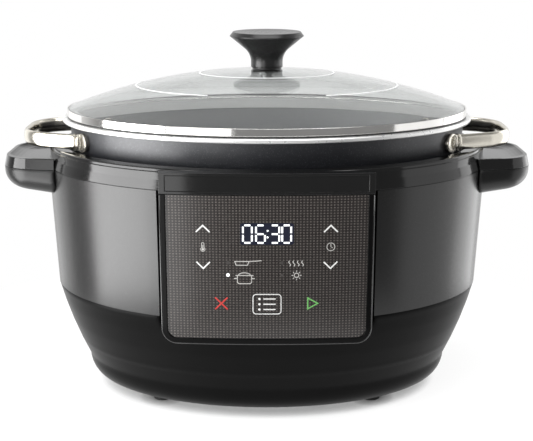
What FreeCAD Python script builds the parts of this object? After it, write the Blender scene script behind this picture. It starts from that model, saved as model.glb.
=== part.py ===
"""Oval countertop slow cooker: housing, lift-out pot and glass lid, as separate pieces.

Millimetres, +Z up, front towards -Y. The origin is on the resting plane, under the middle
of the whole object's box. Every oval section has its half width OVAL_DIFFERENCE below its
half length, so a section is given by its half length alone.
"""
import FreeCAD, Part
import math
import os

Vector = FreeCAD.Vector

# Plan of every oval section
OVAL_DIFFERENCE = 50.0

# Clearances, and how far a cut runs past what it cuts or a joined form sinks into its carrier
SEAM_GAP = 0.4
FIT_GAP = 0.2
SEAT_GAP = 0.2
WALL_SEAT_GAP = 0.05
SCREW_GAP = 0.1
LIFT_GAP = 0.3
CUT_OVER = 1.0
JOIN = 0.5

# Steps of the ruled lofts: in a rounded edge, in the base's foot, in a dish and up a side
ROUND_STEPS = 3
FOOT_STEPS = 8
DISH_STEPS = 5
SIDE_STEPS = 4

# Lower base
FOOT_HEIGHT = 8.0
FOOT_RADIUS = 7.5
FOOT_END_INSET = 47.3
FOOT_SIDE_INSET = 32.3
BASE_LIP_DROP = 0.5
BASE_DRAFT = 39.7
BASE_CORNER_REACH = 16.0
BASE_CORNER_RISE = 20.0
BASE_SPACE = 29.2
BASE_HEIGHT = 86.3
BASE_BULGE = 2.0
BASE_WALL = 3.0
BASE_LIP_WIDTH = 4.0
SPIGOT_HEIGHT = 5.0
SPIGOT_WALL = 2.5
ELECTRICS_SPACE = 33.5
DECK_THICKNESS = 3.0

# Underside
COVER_THICKNESS = 2.5
COVER_BOSS_RADIUS = 4.5
COVER_SCREW_SPREAD = 0.80
COVER_SCREW_ANGLE = 68.0
VENT_LENGTH = 46.0
VENT_WIDTH = 3.2
VENT_PITCH = 7.0
VENT_COUNT = 6
VENT_OFFSET = 40.0

# Middle wall
WALL_HEIGHT = 101.0
WALL_SPACE = 18.7
WALL_THICKNESS = 2.0

# Collar ring with the tops of the side handles
COLLAR_HEIGHT = 16.0
COLLAR_SLOPE = 3.7
COLLAR_CLEARANCE = 5.2
COLLAR_THICKNESS = 3.0
COLLAR_EDGE_ROUND = 1.5

# Side handles
HANDLE_REACH = 34.8
HANDLE_SINK = 11.2
HANDLE_FLAT = 16.0
HANDLE_CORNER = 27.0
HANDLE_TAPER = 12.0
HANDLE_TOP_RISE = 8.4
HANDLE_TOP_INSET = 2.0
HANDLE_RIM = 2.6
HANDLE_DISH_DEPTH = 3.2
HANDLE_DISH_SLOPE = 13.0
GRIP_HEIGHT = 17.0
GRIP_FALL = 6.0
GRIP_ROUND = 15.0
GRIP_WALL = 3.0
GRIP_BOSS_RADIUS = 4.5
GRIP_SCREW_REACH = 11.0
GRIP_SCREW_Y = 21.0
GRIP_SCREW_BITE = 3.6
TONGUE_INSET = 14.0
TONGUE_HALF = 36.0

# Control panel
PANEL_PROUD = 2.3
PANEL_CURVE = 770.0
PANEL_HALF = 80.0
PANEL_FRAME = 4.7
PANEL_DROP = 15.8
PANEL_CORNER = 12.0
PANEL_DEPTH = 27.5
PANEL_GROOVE = 3.0
PANEL_FLANGE = 7.0
PANEL_FLANGE_THICKNESS = 2.0
BEZEL_CHAMFER = 1.2
FASCIA_THICKNESS = 2.5
FASCIA_RECESS = 0.8
HEADER_BORDER = 2.0
HEADER_THICKNESS = 1.6
HEADER_RECESS = 0.3
PAD_SINK = 4.0
FRONT_CLEAR = 10.0

# Behind the fascia
BOARD_THICKNESS = 1.6
CONTROL_BOARD_HALF = 66.0
CONTROL_BOARD_RISE = 4.2
CONTROL_BOARD_DROP = 12.4
CONTROL_BOARD_DEPTH = 9.0
CARRIER_STANDOFF = 2.6
CARRIER_THICKNESS = 2.0
DISPLAY_WIDTH = 44.0
DISPLAY_HEIGHT = 19.0
DISPLAY_DROP = 29.4
DISPLAY_GAP = 0.7
LAMP_RADIUS = 1.6
LAMP_GAP = 0.5
LAMP_LEFT = -29.0
LAMP_RIGHT = 11.4
LAMP_DROP = 51.5
LAMP_PITCH = 9.6

# Pot
POT_BOTTOM_HALF = 150.0
POT_DRAFT = 15.0
POT_RIM_STAND = 18.9
POT_RIM_REACH = 5.9
POT_RIM_HEIGHT = 3.6
POT_RIM_ROUND = 1.6
POT_WALL = 3.5
POT_FLOOR = 4.5
POT_CORNER = 18.0

# Pot loop handles
LOOP_DROP = 11.4
LOOP_REACH = 35.0
LOOP_FLAT = 10.0
LOOP_CORNER = 30.0
LOOP_SPLAY = 22.0
LOOP_SINK = 33.0
LOOP_SECTION_HEIGHT = 12.5
LOOP_SECTION_WIDTH = 4.8
LOOP_RING_HEIGHT = 13.8
LOOP_RING_WIDTH = 8.8
LOOP_RING_THICKNESS = 2.0
LOOP_RING_PITCH = 3.4
LOOP_RING_START = 4.0
LOOP_PAD_RADIUS = 7.5
LOOP_PAD_THICKNESS = 3.6
RIVET_RADIUS = 2.5
RIVET_HEAD_RADIUS = 5.5
RIVET_HEAD_HEIGHT = 2.2
RIVET_GRIP = 3.0
RIVET_HEAD_STANDOFF = 0.5

# Heating well
WELL_SPACE = 27.0
LINER_CLEARANCE = 4.0
LINER_THICKNESS = 1.0
LINER_FLANGE = 5.0
LINER_FLOOR_DROP = 4.8
PLATE_INSET = 24.0
PLATE_THICKNESS = 7.8
PLATE_OPENING_GAP = 0.8
PLATE_EDGE_ROUND = 1.5
ELEMENT_RADIUS = 4.0
ELEMENT_RUN = 55.0
ELEMENT_INSET = 36.0
ELEMENT_BREAK = 14.0
ELEMENT_DEPTH = 3.0
ELEMENT_PIN_LENGTH = 14.0
ELEMENT_PIN_RADIUS = 2.0
POST_END_INSET = 66.0
POST_SIDE_INSET = 18.0
POST_RADIUS = 4.5
POST_FOOT_RADIUS = 6.5
SHIELD_RISE = 7.4
SHIELD_THICKNESS = 0.8
SHIELD_INSET = 12.0
SHIELD_LIP = 5.0

# Temperature sensor in the middle of the plate
SENSOR_CAP_RADIUS = 17.0
SENSOR_CAP_THICKNESS = 2.6
SENSOR_SKIRT = 6.0
SENSOR_CAP_DROP = 0.4
SENSOR_SIDE_GAP = 1.0
SENSOR_STEM_RADIUS = 4.0
SENSOR_STEM_LENGTH = 20.0
SENSOR_TRAVEL = 3.0
GUIDE_RADIUS = 9.0
GUIDE_FLANGE_RADIUS = 16.0
GUIDE_FLANGE = 2.0
GUIDE_END_GAP = 1.0
SPRING_RADIUS = 11.4
SPRING_WIRE = 0.7

# Thermal fuse
FUSE_RADIUS = 2.9
FUSE_LENGTH = 18.0
FUSE_X = 32.0
CLIP_THICKNESS = 0.8
CLIP_WIDTH = 8.0
CLIP_TAB = 6.0

# Power electronics under the deck
POWER_BOARD_X = -35.0
POWER_BOARD_Y = 12.0
POWER_BOARD_LENGTH = 104.0
POWER_BOARD_WIDTH = 66.0
POWER_BOARD_STANDOFF = 5.0
STANDOFF_RADIUS = 3.2
STANDOFF_INSET = 5.0
TRANSFORMER_SIZE = (27.0, 24.0, 19.0)
RELAY_SIZE = (19.0, 15.5, 15.0)
TERMINAL_SIZE = (14.0, 30.0, 12.0)
CAPACITOR_RADIUS = 5.0
CAPACITOR_LENGTH = 17.0
TRANSFORMER_PLACE = (-28.0, 0.0)
RELAY_PLACE = (12.0, -10.0)
TERMINAL_PLACE = (38.0, 0.0)
CAPACITOR_PLACE = (8.0, 16.0)

# Cord gland
GLAND_RISE = 20.5
GLAND_BORE = 3.6
GLAND_RADIUS = 6.0
GLAND_FLANGE_RADIUS = 9.0
GLAND_FLANGE = 2.5
GLAND_BOSS_RADIUS = 11.0
GLAND_PROUD = 5.0
GLAND_LENGTH = 20.0

# Lid
LID_SEAT_WIDTH = 4.0
LID_SEAT_HEIGHT = 1.0
LID_BAND_REACH = 1.8
LID_BAND_HEIGHT = 5.9
LID_BAND_SHEET = 1.2
LID_BAND_WIDTH = 9.6
LID_SKIRT_DEPTH = 9.5
LID_SEAT_INSET = 1.0
GLASS_THICKNESS = 4.0
GLASS_RISE = 31.3
SEAL_THICKNESS = 0.8

# Knob
KNOB_HEIGHT = 28.7
KNOB_TOP_RADIUS = 28.2
KNOB_HEAD_RADIUS = 30.8
KNOB_HEAD_DROP = 3.4
KNOB_CONE_RADIUS = 18.5
KNOB_CONE_DROP = 13.5
KNOB_NECK_RADIUS = 13.2
KNOB_DISH = 1.2
KNOB_SEAT_THICKNESS = 1.2
KNOB_SEAT_INSET = 1.0
KNOB_SCREW_RADIUS = 2.5
KNOB_SCREW_LENGTH = 24.0
KNOB_SCREW_HEAD_RADIUS = 5.0
KNOB_SCREW_HEAD = 3.0
KNOB_WASHER_RADIUS = 9.0
KNOB_WASHER = 1.2
GLASS_HOLE_GAP = 1.0

# Fasteners
SCREW_RADIUS = 1.5
SCREW_HEAD_RADIUS = 2.8
SCREW_HEAD = 2.0
SCREW_LENGTH = 12.0

# Levels and sizes that follow from the values above
POT_WALL_HALF = POT_BOTTOM_HALF + POT_DRAFT
POT_RIM_HALF = POT_WALL_HALF + POT_RIM_REACH
BASE_TOP_HALF = POT_BOTTOM_HALF + BASE_SPACE
BASE_BOTTOM_HALF = BASE_TOP_HALF - BASE_DRAFT
WALL_TOP_HALF = POT_WALL_HALF + WALL_SPACE
COLLAR_TOP_HALF = WALL_TOP_HALF - COLLAR_SLOPE
COLLAR_INNER_HALF = POT_WALL_HALF + COLLAR_CLEARANCE
BASE_BOTTOM = FOOT_HEIGHT - BASE_LIP_DROP
BASE_TOP = BASE_BOTTOM + BASE_HEIGHT
BASE_CORNER_LEVEL = BASE_BOTTOM + BASE_CORNER_RISE
BASE_CORNER_HALF = BASE_BOTTOM_HALF + BASE_CORNER_REACH
BASE_OPENING_HALF = BASE_BOTTOM_HALF - BASE_LIP_WIDTH
COVER_HALF = BASE_OPENING_HALF - FIT_GAP
COVER_TOP = FOOT_HEIGHT + COVER_THICKNESS
FOOT_X = COVER_HALF - FOOT_END_INSET
FOOT_Y = COVER_HALF - OVAL_DIFFERENCE - FOOT_SIDE_INSET
GLAND_LEVEL = COVER_TOP + GLAND_RISE
DECK_HEIGHT = COVER_TOP + ELECTRICS_SPACE
DECK_TOP = DECK_HEIGHT + DECK_THICKNESS
WALL_TOP = BASE_TOP + WALL_HEIGHT
COLLAR_TOP = WALL_TOP + COLLAR_HEIGHT
COLLAR_PLATE = COLLAR_TOP - COLLAR_THICKNESS
HANDLE_TOP = WALL_TOP + HANDLE_TOP_RISE
HANDLE_TIP = WALL_TOP_HALF + HANDLE_REACH
HANDLE_ROOT = WALL_TOP_HALF - HANDLE_SINK
GRIP_SCREW_X = WALL_TOP_HALF + GRIP_SCREW_REACH
GRIP_BOTTOM = WALL_TOP - SEAM_GAP - GRIP_HEIGHT
GRIP_LOW = GRIP_BOTTOM - GRIP_ROUND
PANEL_FRONT = -(WALL_TOP_HALF - OVAL_DIFFERENCE) - PANEL_PROUD
PANEL_BOTTOM = BASE_TOP - PANEL_DROP
PANEL_BACK = PANEL_FRONT + PANEL_DEPTH
PANEL_TOP = WALL_TOP - SEAM_GAP
PANEL_SAG = PANEL_HALF ** 2 / (2 * PANEL_CURVE)
PAD_BACK = PAD_SINK - (COLLAR_TOP_HALF - OVAL_DIFFERENCE)
PAD_DEPTH = PAD_BACK - PANEL_FRONT
FASCIA_HALF = PANEL_HALF - PANEL_FRAME - FIT_GAP
FASCIA_LOW = PANEL_BOTTOM + PANEL_FRAME + FIT_GAP
FASCIA_BACK = PANEL_FRONT + FASCIA_RECESS + FASCIA_THICKNESS
BOARD_FRONT = PANEL_FRONT + CONTROL_BOARD_DEPTH
BOARD_BACK = BOARD_FRONT + BOARD_THICKNESS
CARRIER_FRONT = BOARD_BACK + CARRIER_STANDOFF
CARRIER_BACK = CARRIER_FRONT + CARRIER_THICKNESS
CONTROL_BOARD_LOW = BASE_TOP + CONTROL_BOARD_RISE
CONTROL_BOARD_HIGH = PANEL_TOP - CONTROL_BOARD_DROP
DISPLAY_LEVEL = PANEL_TOP - DISPLAY_DROP
LAMP_HIGH = PANEL_TOP - LAMP_DROP
LAMP_LOW = LAMP_HIGH - LAMP_PITCH
POT_FLOOR_LEVEL = DECK_TOP + WELL_SPACE
POT_RIM_LEVEL = COLLAR_TOP + POT_RIM_STAND
POT_RIM_TOP = POT_RIM_LEVEL + POT_RIM_HEIGHT
POT_MOUTH_HALF = POT_WALL_HALF - POT_WALL
LOOP_LEVEL = POT_RIM_LEVEL - LOOP_DROP
LOOP_TIP = POT_WALL_HALF + LOOP_REACH
LOOP_ROOT = POT_WALL_HALF - LOOP_SINK
PLATE_HALF = POT_BOTTOM_HALF - PLATE_INSET
SHIELD_HALF = POT_BOTTOM_HALF - SHIELD_INSET
SHIELD_LEVEL = DECK_TOP + SHIELD_RISE
POST_X = PLATE_HALF - POST_END_INSET
POST_Y = PLATE_HALF - OVAL_DIFFERENCE - POST_SIDE_INSET
ELEMENT_BEND = PLATE_HALF - OVAL_DIFFERENCE - ELEMENT_INSET
PLATE_TOP = POT_FLOOR_LEVEL - LIFT_GAP
PLATE_BOTTOM = PLATE_TOP - PLATE_THICKNESS
ELEMENT_LEVEL = PLATE_BOTTOM - ELEMENT_RADIUS + ELEMENT_DEPTH
LINER_FLOOR = POT_FLOOR_LEVEL - LINER_FLOOR_DROP
LINER_TOP = COLLAR_PLATE - SEAT_GAP
SENSOR_TOP = POT_FLOOR_LEVEL - SENSOR_CAP_DROP
SENSOR_CAP_UNDER = SENSOR_TOP - SENSOR_CAP_THICKNESS
SENSOR_STEM_END = SENSOR_CAP_UNDER - SENSOR_STEM_LENGTH
GUIDE_TOP = SENSOR_CAP_UNDER - SENSOR_TRAVEL - GUIDE_END_GAP
POWER_BOARD_LEVEL = COVER_TOP + POWER_BOARD_STANDOFF
POWER_BOARD_TOP = POWER_BOARD_LEVEL + BOARD_THICKNESS
LID_BAND_HALF = POT_WALL_HALF + LID_BAND_REACH
LID_SEAT_LEVEL = POT_RIM_TOP + LIFT_GAP
LID_BAND_LOW = LID_SEAT_LEVEL + LID_SEAT_HEIGHT
LID_BAND_TOP = LID_BAND_LOW + LID_BAND_HEIGHT
LID_INNER_HALF = LID_BAND_HALF - LID_BAND_WIDTH
GLASS_HALF = LID_BAND_HALF - LID_BAND_SHEET - FIT_GAP
GLASS_EDGE = LID_BAND_LOW + LID_BAND_SHEET + SEAL_THICKNESS
GLASS_TOP = GLASS_EDGE + GLASS_THICKNESS + GLASS_RISE
GLASS_HOLE_RADIUS = KNOB_SCREW_RADIUS + GLASS_HOLE_GAP
KNOB_BOTTOM = GLASS_TOP + SEAT_GAP + KNOB_SEAT_THICKNESS
KNOB_TOP = KNOB_BOTTOM + KNOB_HEIGHT
CENTRING = Vector(0, PANEL_PROUD / 2, 0)


def oval_wire(level, half):
    """Closed oval at a height, from its half length."""
    oval = Part.Ellipse(Vector(0, 0, level), half, half - OVAL_DIFFERENCE)
    return Part.Wire([oval.toShape()])


def oval_loft(sections):
    """Solid through ovals given as (height, half length), straight from one to the next."""
    return Part.makeLoft([oval_wire(*section) for section in sections], True, True)


def rounded_edge(level, half, reach, rise, up, steps=ROUND_STEPS):
    """Sections of a rounded edge, from low to high; up is 1 for an upper edge and -1 for a lower one."""
    sections = []
    for step in range(steps + 1):
        turn = math.pi / 2 * step / steps
        height = level - up * rise * (1 - math.cos(turn))
        sections.append((height, half - reach * (1 - math.sin(turn))))
    return sections[::-1] if up > 0 else sections


def side_sections(low, high, half_at):
    """Sections above a height and up to another, with the half length as a function of height."""
    levels = [low + step * (high - low) / SIDE_STEPS for step in range(1, SIDE_STEPS + 1)]
    return [(level, half_at(level)) for level in levels]


def oval_disc(low, high, half):
    """Straight-sided oval solid between two heights."""
    return Part.Face(oval_wire(low, half)).extrude(Vector(0, 0, high - low))


def oval_ring(low, high, inner, outer):
    """Straight-sided oval ring between two heights."""
    return oval_disc(low, high, outer).cut(oval_disc(low - CUT_OVER, high + CUT_OVER, inner))


def box(x_low, x_high, y_low, y_high, z_low, z_high):
    """Box between corner values."""
    size = (x_high - x_low, y_high - y_low, z_high - z_low)
    return Part.makeBox(*size, Vector(x_low, y_low, z_low))


def post(x, y, low, high, radius):
    """Upright cylinder between two heights."""
    return Part.makeCylinder(radius, high - low, Vector(x, y, low))


def across(x, z, y_low, y_high, radius):
    """Cylinder running front to back."""
    return Part.makeCylinder(radius, y_high - y_low, Vector(x, y_low, z), Vector(0, 1, 0))


def fuse_all(shapes):
    """One solid from overlapping or touching shapes."""
    return shapes[0].multiFuse(shapes[1:]).removeSplitter()


def mirror_x(shape):
    """Copy of a shape on the other side of the middle plane."""
    return shape.mirror(Vector(0, 0, 0), Vector(1, 0, 0))


def corners(x, y):
    """The four places mirrored about both middle planes."""
    return [(sx * x, sy * y) for sx in (-1, 1) for sy in (-1, 1)]


def screw(x, y, head_level, up=1):
    """Pan-head screw: head face at head_level, shank running up or down from it."""
    axis = Vector(0, 0, up)
    head = Part.makeCylinder(SCREW_HEAD_RADIUS, SCREW_HEAD, Vector(x, y, head_level), axis)
    shank_start = Vector(x, y, head_level + up * SCREW_HEAD)
    return head.fuse(Part.makeCylinder(SCREW_RADIUS, SCREW_LENGTH, shank_start, axis))


def screw_hole(x, y, low, high):
    """Clear hole for a screw shank."""
    return post(x, y, low, high, SCREW_RADIUS + SCREW_GAP)


# Lower base

def base_side_half(level, inset=0.0):
    """Half length of the base's bulging side at a height."""
    share = (level - BASE_CORNER_LEVEL) / (BASE_TOP - BASE_CORNER_LEVEL)
    straight = BASE_CORNER_HALF + share * (BASE_TOP_HALF - BASE_CORNER_HALF)
    return straight + 4 * BASE_BULGE * share * (1 - share) - inset


def base_outside():
    """Outer form of the base: rounded foot and slightly bulging side."""
    corner = rounded_edge(
        BASE_BOTTOM, BASE_CORNER_HALF, BASE_CORNER_REACH, BASE_CORNER_RISE, -1, FOOT_STEPS)
    side = side_sections(BASE_CORNER_LEVEL, BASE_TOP, base_side_half)
    return oval_loft(corner + side)


def base_hollow():
    """Space inside the base, one wall thickness within its side."""
    rise = BASE_CORNER_LEVEL - COVER_TOP
    corner = rounded_edge(
        COVER_TOP, BASE_CORNER_HALF - BASE_WALL, BASE_CORNER_REACH, rise, -1, FOOT_STEPS)
    side = side_sections(BASE_CORNER_LEVEL, BASE_TOP, lambda level: base_side_half(level, BASE_WALL))
    return oval_loft(corner + side)


def cover_screw_places():
    """Screw places on the bottom cover, on an oval inside its edge."""
    half_length = COVER_HALF * COVER_SCREW_SPREAD
    half_width = half_length - OVAL_DIFFERENCE * COVER_SCREW_SPREAD
    places = []
    spread = COVER_SCREW_ANGLE
    for angle in (0, spread, 180 - spread, 180, 180 + spread, 360 - spread):
        turn = math.radians(angle)
        places.append((half_length * math.cos(turn), half_width * math.sin(turn)))
    return places


def base_shell():
    """Tapered lower housing with its deck, screw bosses, panel notch and gland boss."""
    shell = base_outside().cut(base_hollow())
    shell = shell.cut(oval_disc(BASE_BOTTOM - CUT_OVER, COVER_TOP + CUT_OVER, BASE_OPENING_HALF))
    spigot_half = BASE_TOP_HALF - WALL_THICKNESS - FIT_GAP
    spigot_low = BASE_TOP - SPIGOT_HEIGHT
    spigot = oval_ring(spigot_low, BASE_TOP + SPIGOT_HEIGHT, spigot_half - SPIGOT_WALL, spigot_half)
    deck = oval_disc(DECK_HEIGHT, DECK_TOP, base_side_half(DECK_HEIGHT, BASE_WALL / 2))
    bosses = [post(x, y, COVER_TOP, DECK_TOP, COVER_BOSS_RADIUS) for x, y in cover_screw_places()]
    gland_boss = across(0, GLAND_LEVEL, gland_seat() - GLAND_LENGTH, gland_seat(), GLAND_BOSS_RADIUS)
    shell = fuse_all([shell, spigot, deck, gland_boss] + bosses)
    cuts = [panel_notch(), gland_hole()]
    for x, y in cover_screw_places():
        cuts.append(screw_hole(x, y, COVER_TOP - CUT_OVER, COVER_TOP + SCREW_LENGTH))
    low = DECK_HEIGHT - CUT_OVER
    high = DECK_TOP + CUT_OVER
    cuts += [screw_hole(x, y, low, high) for x, y in corners(POST_X, POST_Y)]
    cuts.append(post(0, 0, low, high, SENSOR_STEM_RADIUS + SENSOR_SIDE_GAP))
    return shell.cut(Part.makeCompound(cuts))


def gland_seat():
    """Rear face of the gland's boss, proud of the base's side at the gland's height."""
    return base_side_half(GLAND_LEVEL) - OVAL_DIFFERENCE + GLAND_PROUD


def gland_hole():
    """Round hole through the rear boss for the gland's body."""
    start = gland_seat() - GLAND_LENGTH - CUT_OVER
    return across(0, GLAND_LEVEL, start, gland_seat() + CUT_OVER, GLAND_RADIUS + FIT_GAP)


def cord_gland():
    """Flanged bush for the mains lead, seated on the rear boss."""
    seat = gland_seat()
    start = seat - GLAND_LENGTH
    end = seat + GLAND_FLANGE
    body = across(0, GLAND_LEVEL, start, seat, GLAND_RADIUS)
    flange = across(0, GLAND_LEVEL, seat, end, GLAND_FLANGE_RADIUS)
    bore = across(0, GLAND_LEVEL, start - CUT_OVER, end + CUT_OVER, GLAND_BORE)
    return body.fuse(flange).removeSplitter().cut(bore)


def bottom_cover():
    """Oval plate with vent slots, board standoffs and countersunk screw places."""
    plate = oval_disc(FOOT_HEIGHT, COVER_TOP, COVER_HALF)
    standoffs = [post(x, y, COVER_TOP - JOIN, POWER_BOARD_LEVEL, STANDOFF_RADIUS)
                 for x, y in power_board_holes()]
    plate = fuse_all([plate] + standoffs)
    cuts = []
    for row in range(VENT_COUNT):
        x = VENT_OFFSET + row * VENT_PITCH
        cuts.append(box(x - VENT_WIDTH / 2, x + VENT_WIDTH / 2, -VENT_LENGTH / 2, VENT_LENGTH / 2,
                        FOOT_HEIGHT - CUT_OVER, COVER_TOP + CUT_OVER))
    for x, y in cover_screw_places():
        cuts.append(screw_hole(x, y, FOOT_HEIGHT - CUT_OVER, COVER_TOP + CUT_OVER))
    for x, y in power_board_holes():
        cuts.append(screw_hole(x, y, COVER_TOP - FIT_GAP, POWER_BOARD_LEVEL + CUT_OVER))
    return plate.cut(Part.makeCompound(cuts))


def foot(x, y):
    """Round rubber foot under the bottom cover."""
    return post(x, y, 0, FOOT_HEIGHT, FOOT_RADIUS)


def cover_screws():
    """Screws that hold the bottom cover to the base's bosses."""
    head_level = FOOT_HEIGHT - SCREW_HEAD
    return Part.makeCompound([screw(x, y, head_level) for x, y in cover_screw_places()])


# Middle wall

def wall_half(level, inset=0.0):
    """Half length of the straight-drafted wall at a height."""
    share = (level - BASE_TOP) / WALL_HEIGHT
    return BASE_TOP_HALF + share * (WALL_TOP_HALF - BASE_TOP_HALF) - inset


def wall_solid(inset, low, high):
    """Drafted oval solid between two heights."""
    return oval_loft([(low, wall_half(low, inset)), (high, wall_half(high, inset))])


def outer_wall():
    """Metal wrap between the base and the collar, open at the control panel."""
    low = BASE_TOP + WALL_SEAT_GAP
    high = WALL_TOP - SEAM_GAP
    sheet = wall_solid(0, low, high).cut(wall_solid(WALL_THICKNESS, low - CUT_OVER, high + CUT_OVER))
    half = PANEL_HALF + PANEL_GROOVE
    return sheet.cut(box(-half, half, PANEL_FRONT - FRONT_CLEAR, 0, low - CUT_OVER, high + CUT_OVER))


# Collar and side handles

def handle_outline(inset, level):
    """Closed outline of the right-hand handle: tapered sides, round corners, flat tip."""
    taper = math.radians(HANDLE_TAPER)
    radius = HANDLE_CORNER - inset
    centre = Vector(HANDLE_TIP - HANDLE_CORNER, HANDLE_FLAT, level)
    touch = centre + Vector(radius * math.sin(taper), radius * math.cos(taper), 0)
    bulge_angle = math.radians(45 - HANDLE_TAPER / 2)
    bulge = centre + Vector(radius * math.cos(bulge_angle), radius * math.sin(bulge_angle), 0)
    tip = centre + Vector(radius, 0, 0)
    root_y = touch.y + (touch.x - HANDLE_ROOT) * math.tan(taper)
    root = Vector(HANDLE_ROOT, root_y, level)
    flip = [Vector(p.x, -p.y, p.z) for p in (root, touch, bulge, tip)]
    edges = [
        Part.LineSegment(root, touch).toShape(),
        Part.Arc(touch, bulge, tip).toShape(),
        Part.LineSegment(tip, flip[3]).toShape(),
        Part.Arc(flip[3], flip[2], flip[1]).toShape(),
        Part.LineSegment(flip[1], flip[0]).toShape(),
        Part.LineSegment(flip[0], root).toShape(),
    ]
    return Part.Wire(edges)


def handle_loft(low, low_inset, high, high_inset):
    """Solid between two handle outlines."""
    wires = [handle_outline(low_inset, low), handle_outline(high_inset, high)]
    return Part.makeLoft(wires, True, True)


def handle_screw_places(side):
    """Two screw places under one side handle."""
    return [(side * GRIP_SCREW_X, sy * GRIP_SCREW_Y) for sy in (-1, 1)]


def handle_dish():
    """Shallow hollow in a handle's top, steepest at its edge."""
    wires = []
    for step in range(DISH_STEPS + 1):
        turn = math.pi / 2 * step / DISH_STEPS
        inset = HANDLE_TOP_INSET + HANDLE_RIM + HANDLE_DISH_SLOPE * (1 - math.cos(turn))
        wires.append(handle_outline(inset, HANDLE_TOP - HANDLE_DISH_DEPTH * math.sin(turn)))
    return Part.makeLoft(wires, True, True)


def handle_lug():
    """Top of the right-hand side handle, with its shallow dish and a tongue into the collar."""
    lug = handle_loft(WALL_TOP, 0, HANDLE_TOP, HANDLE_TOP_INSET)
    dish = handle_dish()
    tongue = box(WALL_TOP_HALF - TONGUE_INSET, HANDLE_ROOT + JOIN, -TONGUE_HALF, TONGUE_HALF,
                 WALL_TOP, HANDLE_TOP - HANDLE_DISH_DEPTH)
    holes = [screw_hole(x, y, WALL_TOP - CUT_OVER, WALL_TOP + GRIP_SCREW_BITE + FIT_GAP)
             for x, y in handle_screw_places(1)]
    return lug.cut(dish).fuse(tongue).cut(Part.makeCompound(holes))


def panel_slab(depth_from, depth_to):
    """Upright curved slab that follows the panel's face, between two depths behind it."""
    axis_y = PANEL_FRONT + PANEL_CURVE
    height = COLLAR_TOP
    front = Part.makeCylinder(PANEL_CURVE - depth_from, height, Vector(0, axis_y, 0))
    back = Part.makeCylinder(PANEL_CURVE - depth_to, height + 2 * CUT_OVER, Vector(0, axis_y, -CUT_OVER))
    return front.cut(back)


def front_pad():
    """Flat-fronted brow of the collar above the fascia, with the pocket for the header strip."""
    pad = box(-PANEL_HALF, PANEL_HALF, PANEL_FRONT - CUT_OVER, PAD_BACK, WALL_TOP, COLLAR_TOP)
    pad = pad.common(panel_slab(0, PAD_DEPTH + 2 * PANEL_SAG))
    return pad.cut(header_block(0, HEADER_THICKNESS + HEADER_RECESS))


def header_block(inset, depth):
    """Block of the header strip's outline from the panel's face to a depth."""
    half = PANEL_HALF - PANEL_FRAME - inset
    low = WALL_TOP + HEADER_BORDER + inset
    high = COLLAR_TOP - HEADER_BORDER - inset
    block = box(-half, half, PANEL_FRONT - CUT_OVER, PANEL_FRONT + PAD_DEPTH, low, high)
    return block.common(panel_slab(-CUT_OVER, depth))


def header_strip():
    """Plain glossy strip set into the collar's brow."""
    return header_block(FIT_GAP, HEADER_RECESS + HEADER_THICKNESS - SEAT_GAP).common(
        panel_slab(HEADER_RECESS, HEADER_RECESS + HEADER_THICKNESS))


def top_collar():
    """Ring around the well's mouth, moulded with the handle tops and the panel's brow."""
    edge = rounded_edge(COLLAR_TOP, COLLAR_TOP_HALF, COLLAR_EDGE_ROUND, COLLAR_EDGE_ROUND, 1)
    ring = oval_loft([(WALL_TOP, WALL_TOP_HALF)] + edge)
    channel_outer = COLLAR_TOP_HALF - COLLAR_THICKNESS
    low = WALL_TOP - SPIGOT_HEIGHT - CUT_OVER
    channel = oval_ring(low, COLLAR_PLATE, COLLAR_INNER_HALF - COLLAR_THICKNESS, channel_outer)
    spigot = oval_ring(WALL_TOP - SPIGOT_HEIGHT, COLLAR_PLATE + JOIN, channel_outer - JOIN, WALL_TOP_HALF)
    spigot = spigot.common(wall_solid(WALL_THICKNESS + FIT_GAP, BASE_TOP, COLLAR_TOP))
    groove_half = PANEL_HALF + PANEL_GROOVE
    spigot = spigot.cut(box(-groove_half, groove_half, PANEL_FRONT, 0, low, WALL_TOP))
    groove = box(-groove_half, groove_half, PANEL_FRONT - FRONT_CLEAR, PANEL_FRONT + PAD_DEPTH,
                 low, COLLAR_TOP + CUT_OVER)
    ring = ring.cut(channel).fuse(spigot).cut(groove)
    lug = handle_lug()
    body = ring.multiFuse([lug, mirror_x(lug), front_pad()])
    return body.cut(oval_disc(low, COLLAR_TOP + CUT_OVER, COLLAR_INNER_HALF))


def grip_height_over_underside(point):
    """Height of a point over the sloping plane of the grip's underside."""
    return point.z - GRIP_BOTTOM + (HANDLE_TIP - point.x) * math.tan(math.radians(GRIP_FALL))


def grip_underside():
    """Block under the sloping plane of the grip's underside, which falls towards the wall."""
    size = HANDLE_TIP
    block = box(-size, size, -size, size, -size, 0)
    block.rotate(Vector(0, 0, 0), Vector(0, 1, 0), -GRIP_FALL)
    block.translate(Vector(HANDLE_TIP, 0, GRIP_BOTTOM))
    return block


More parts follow.
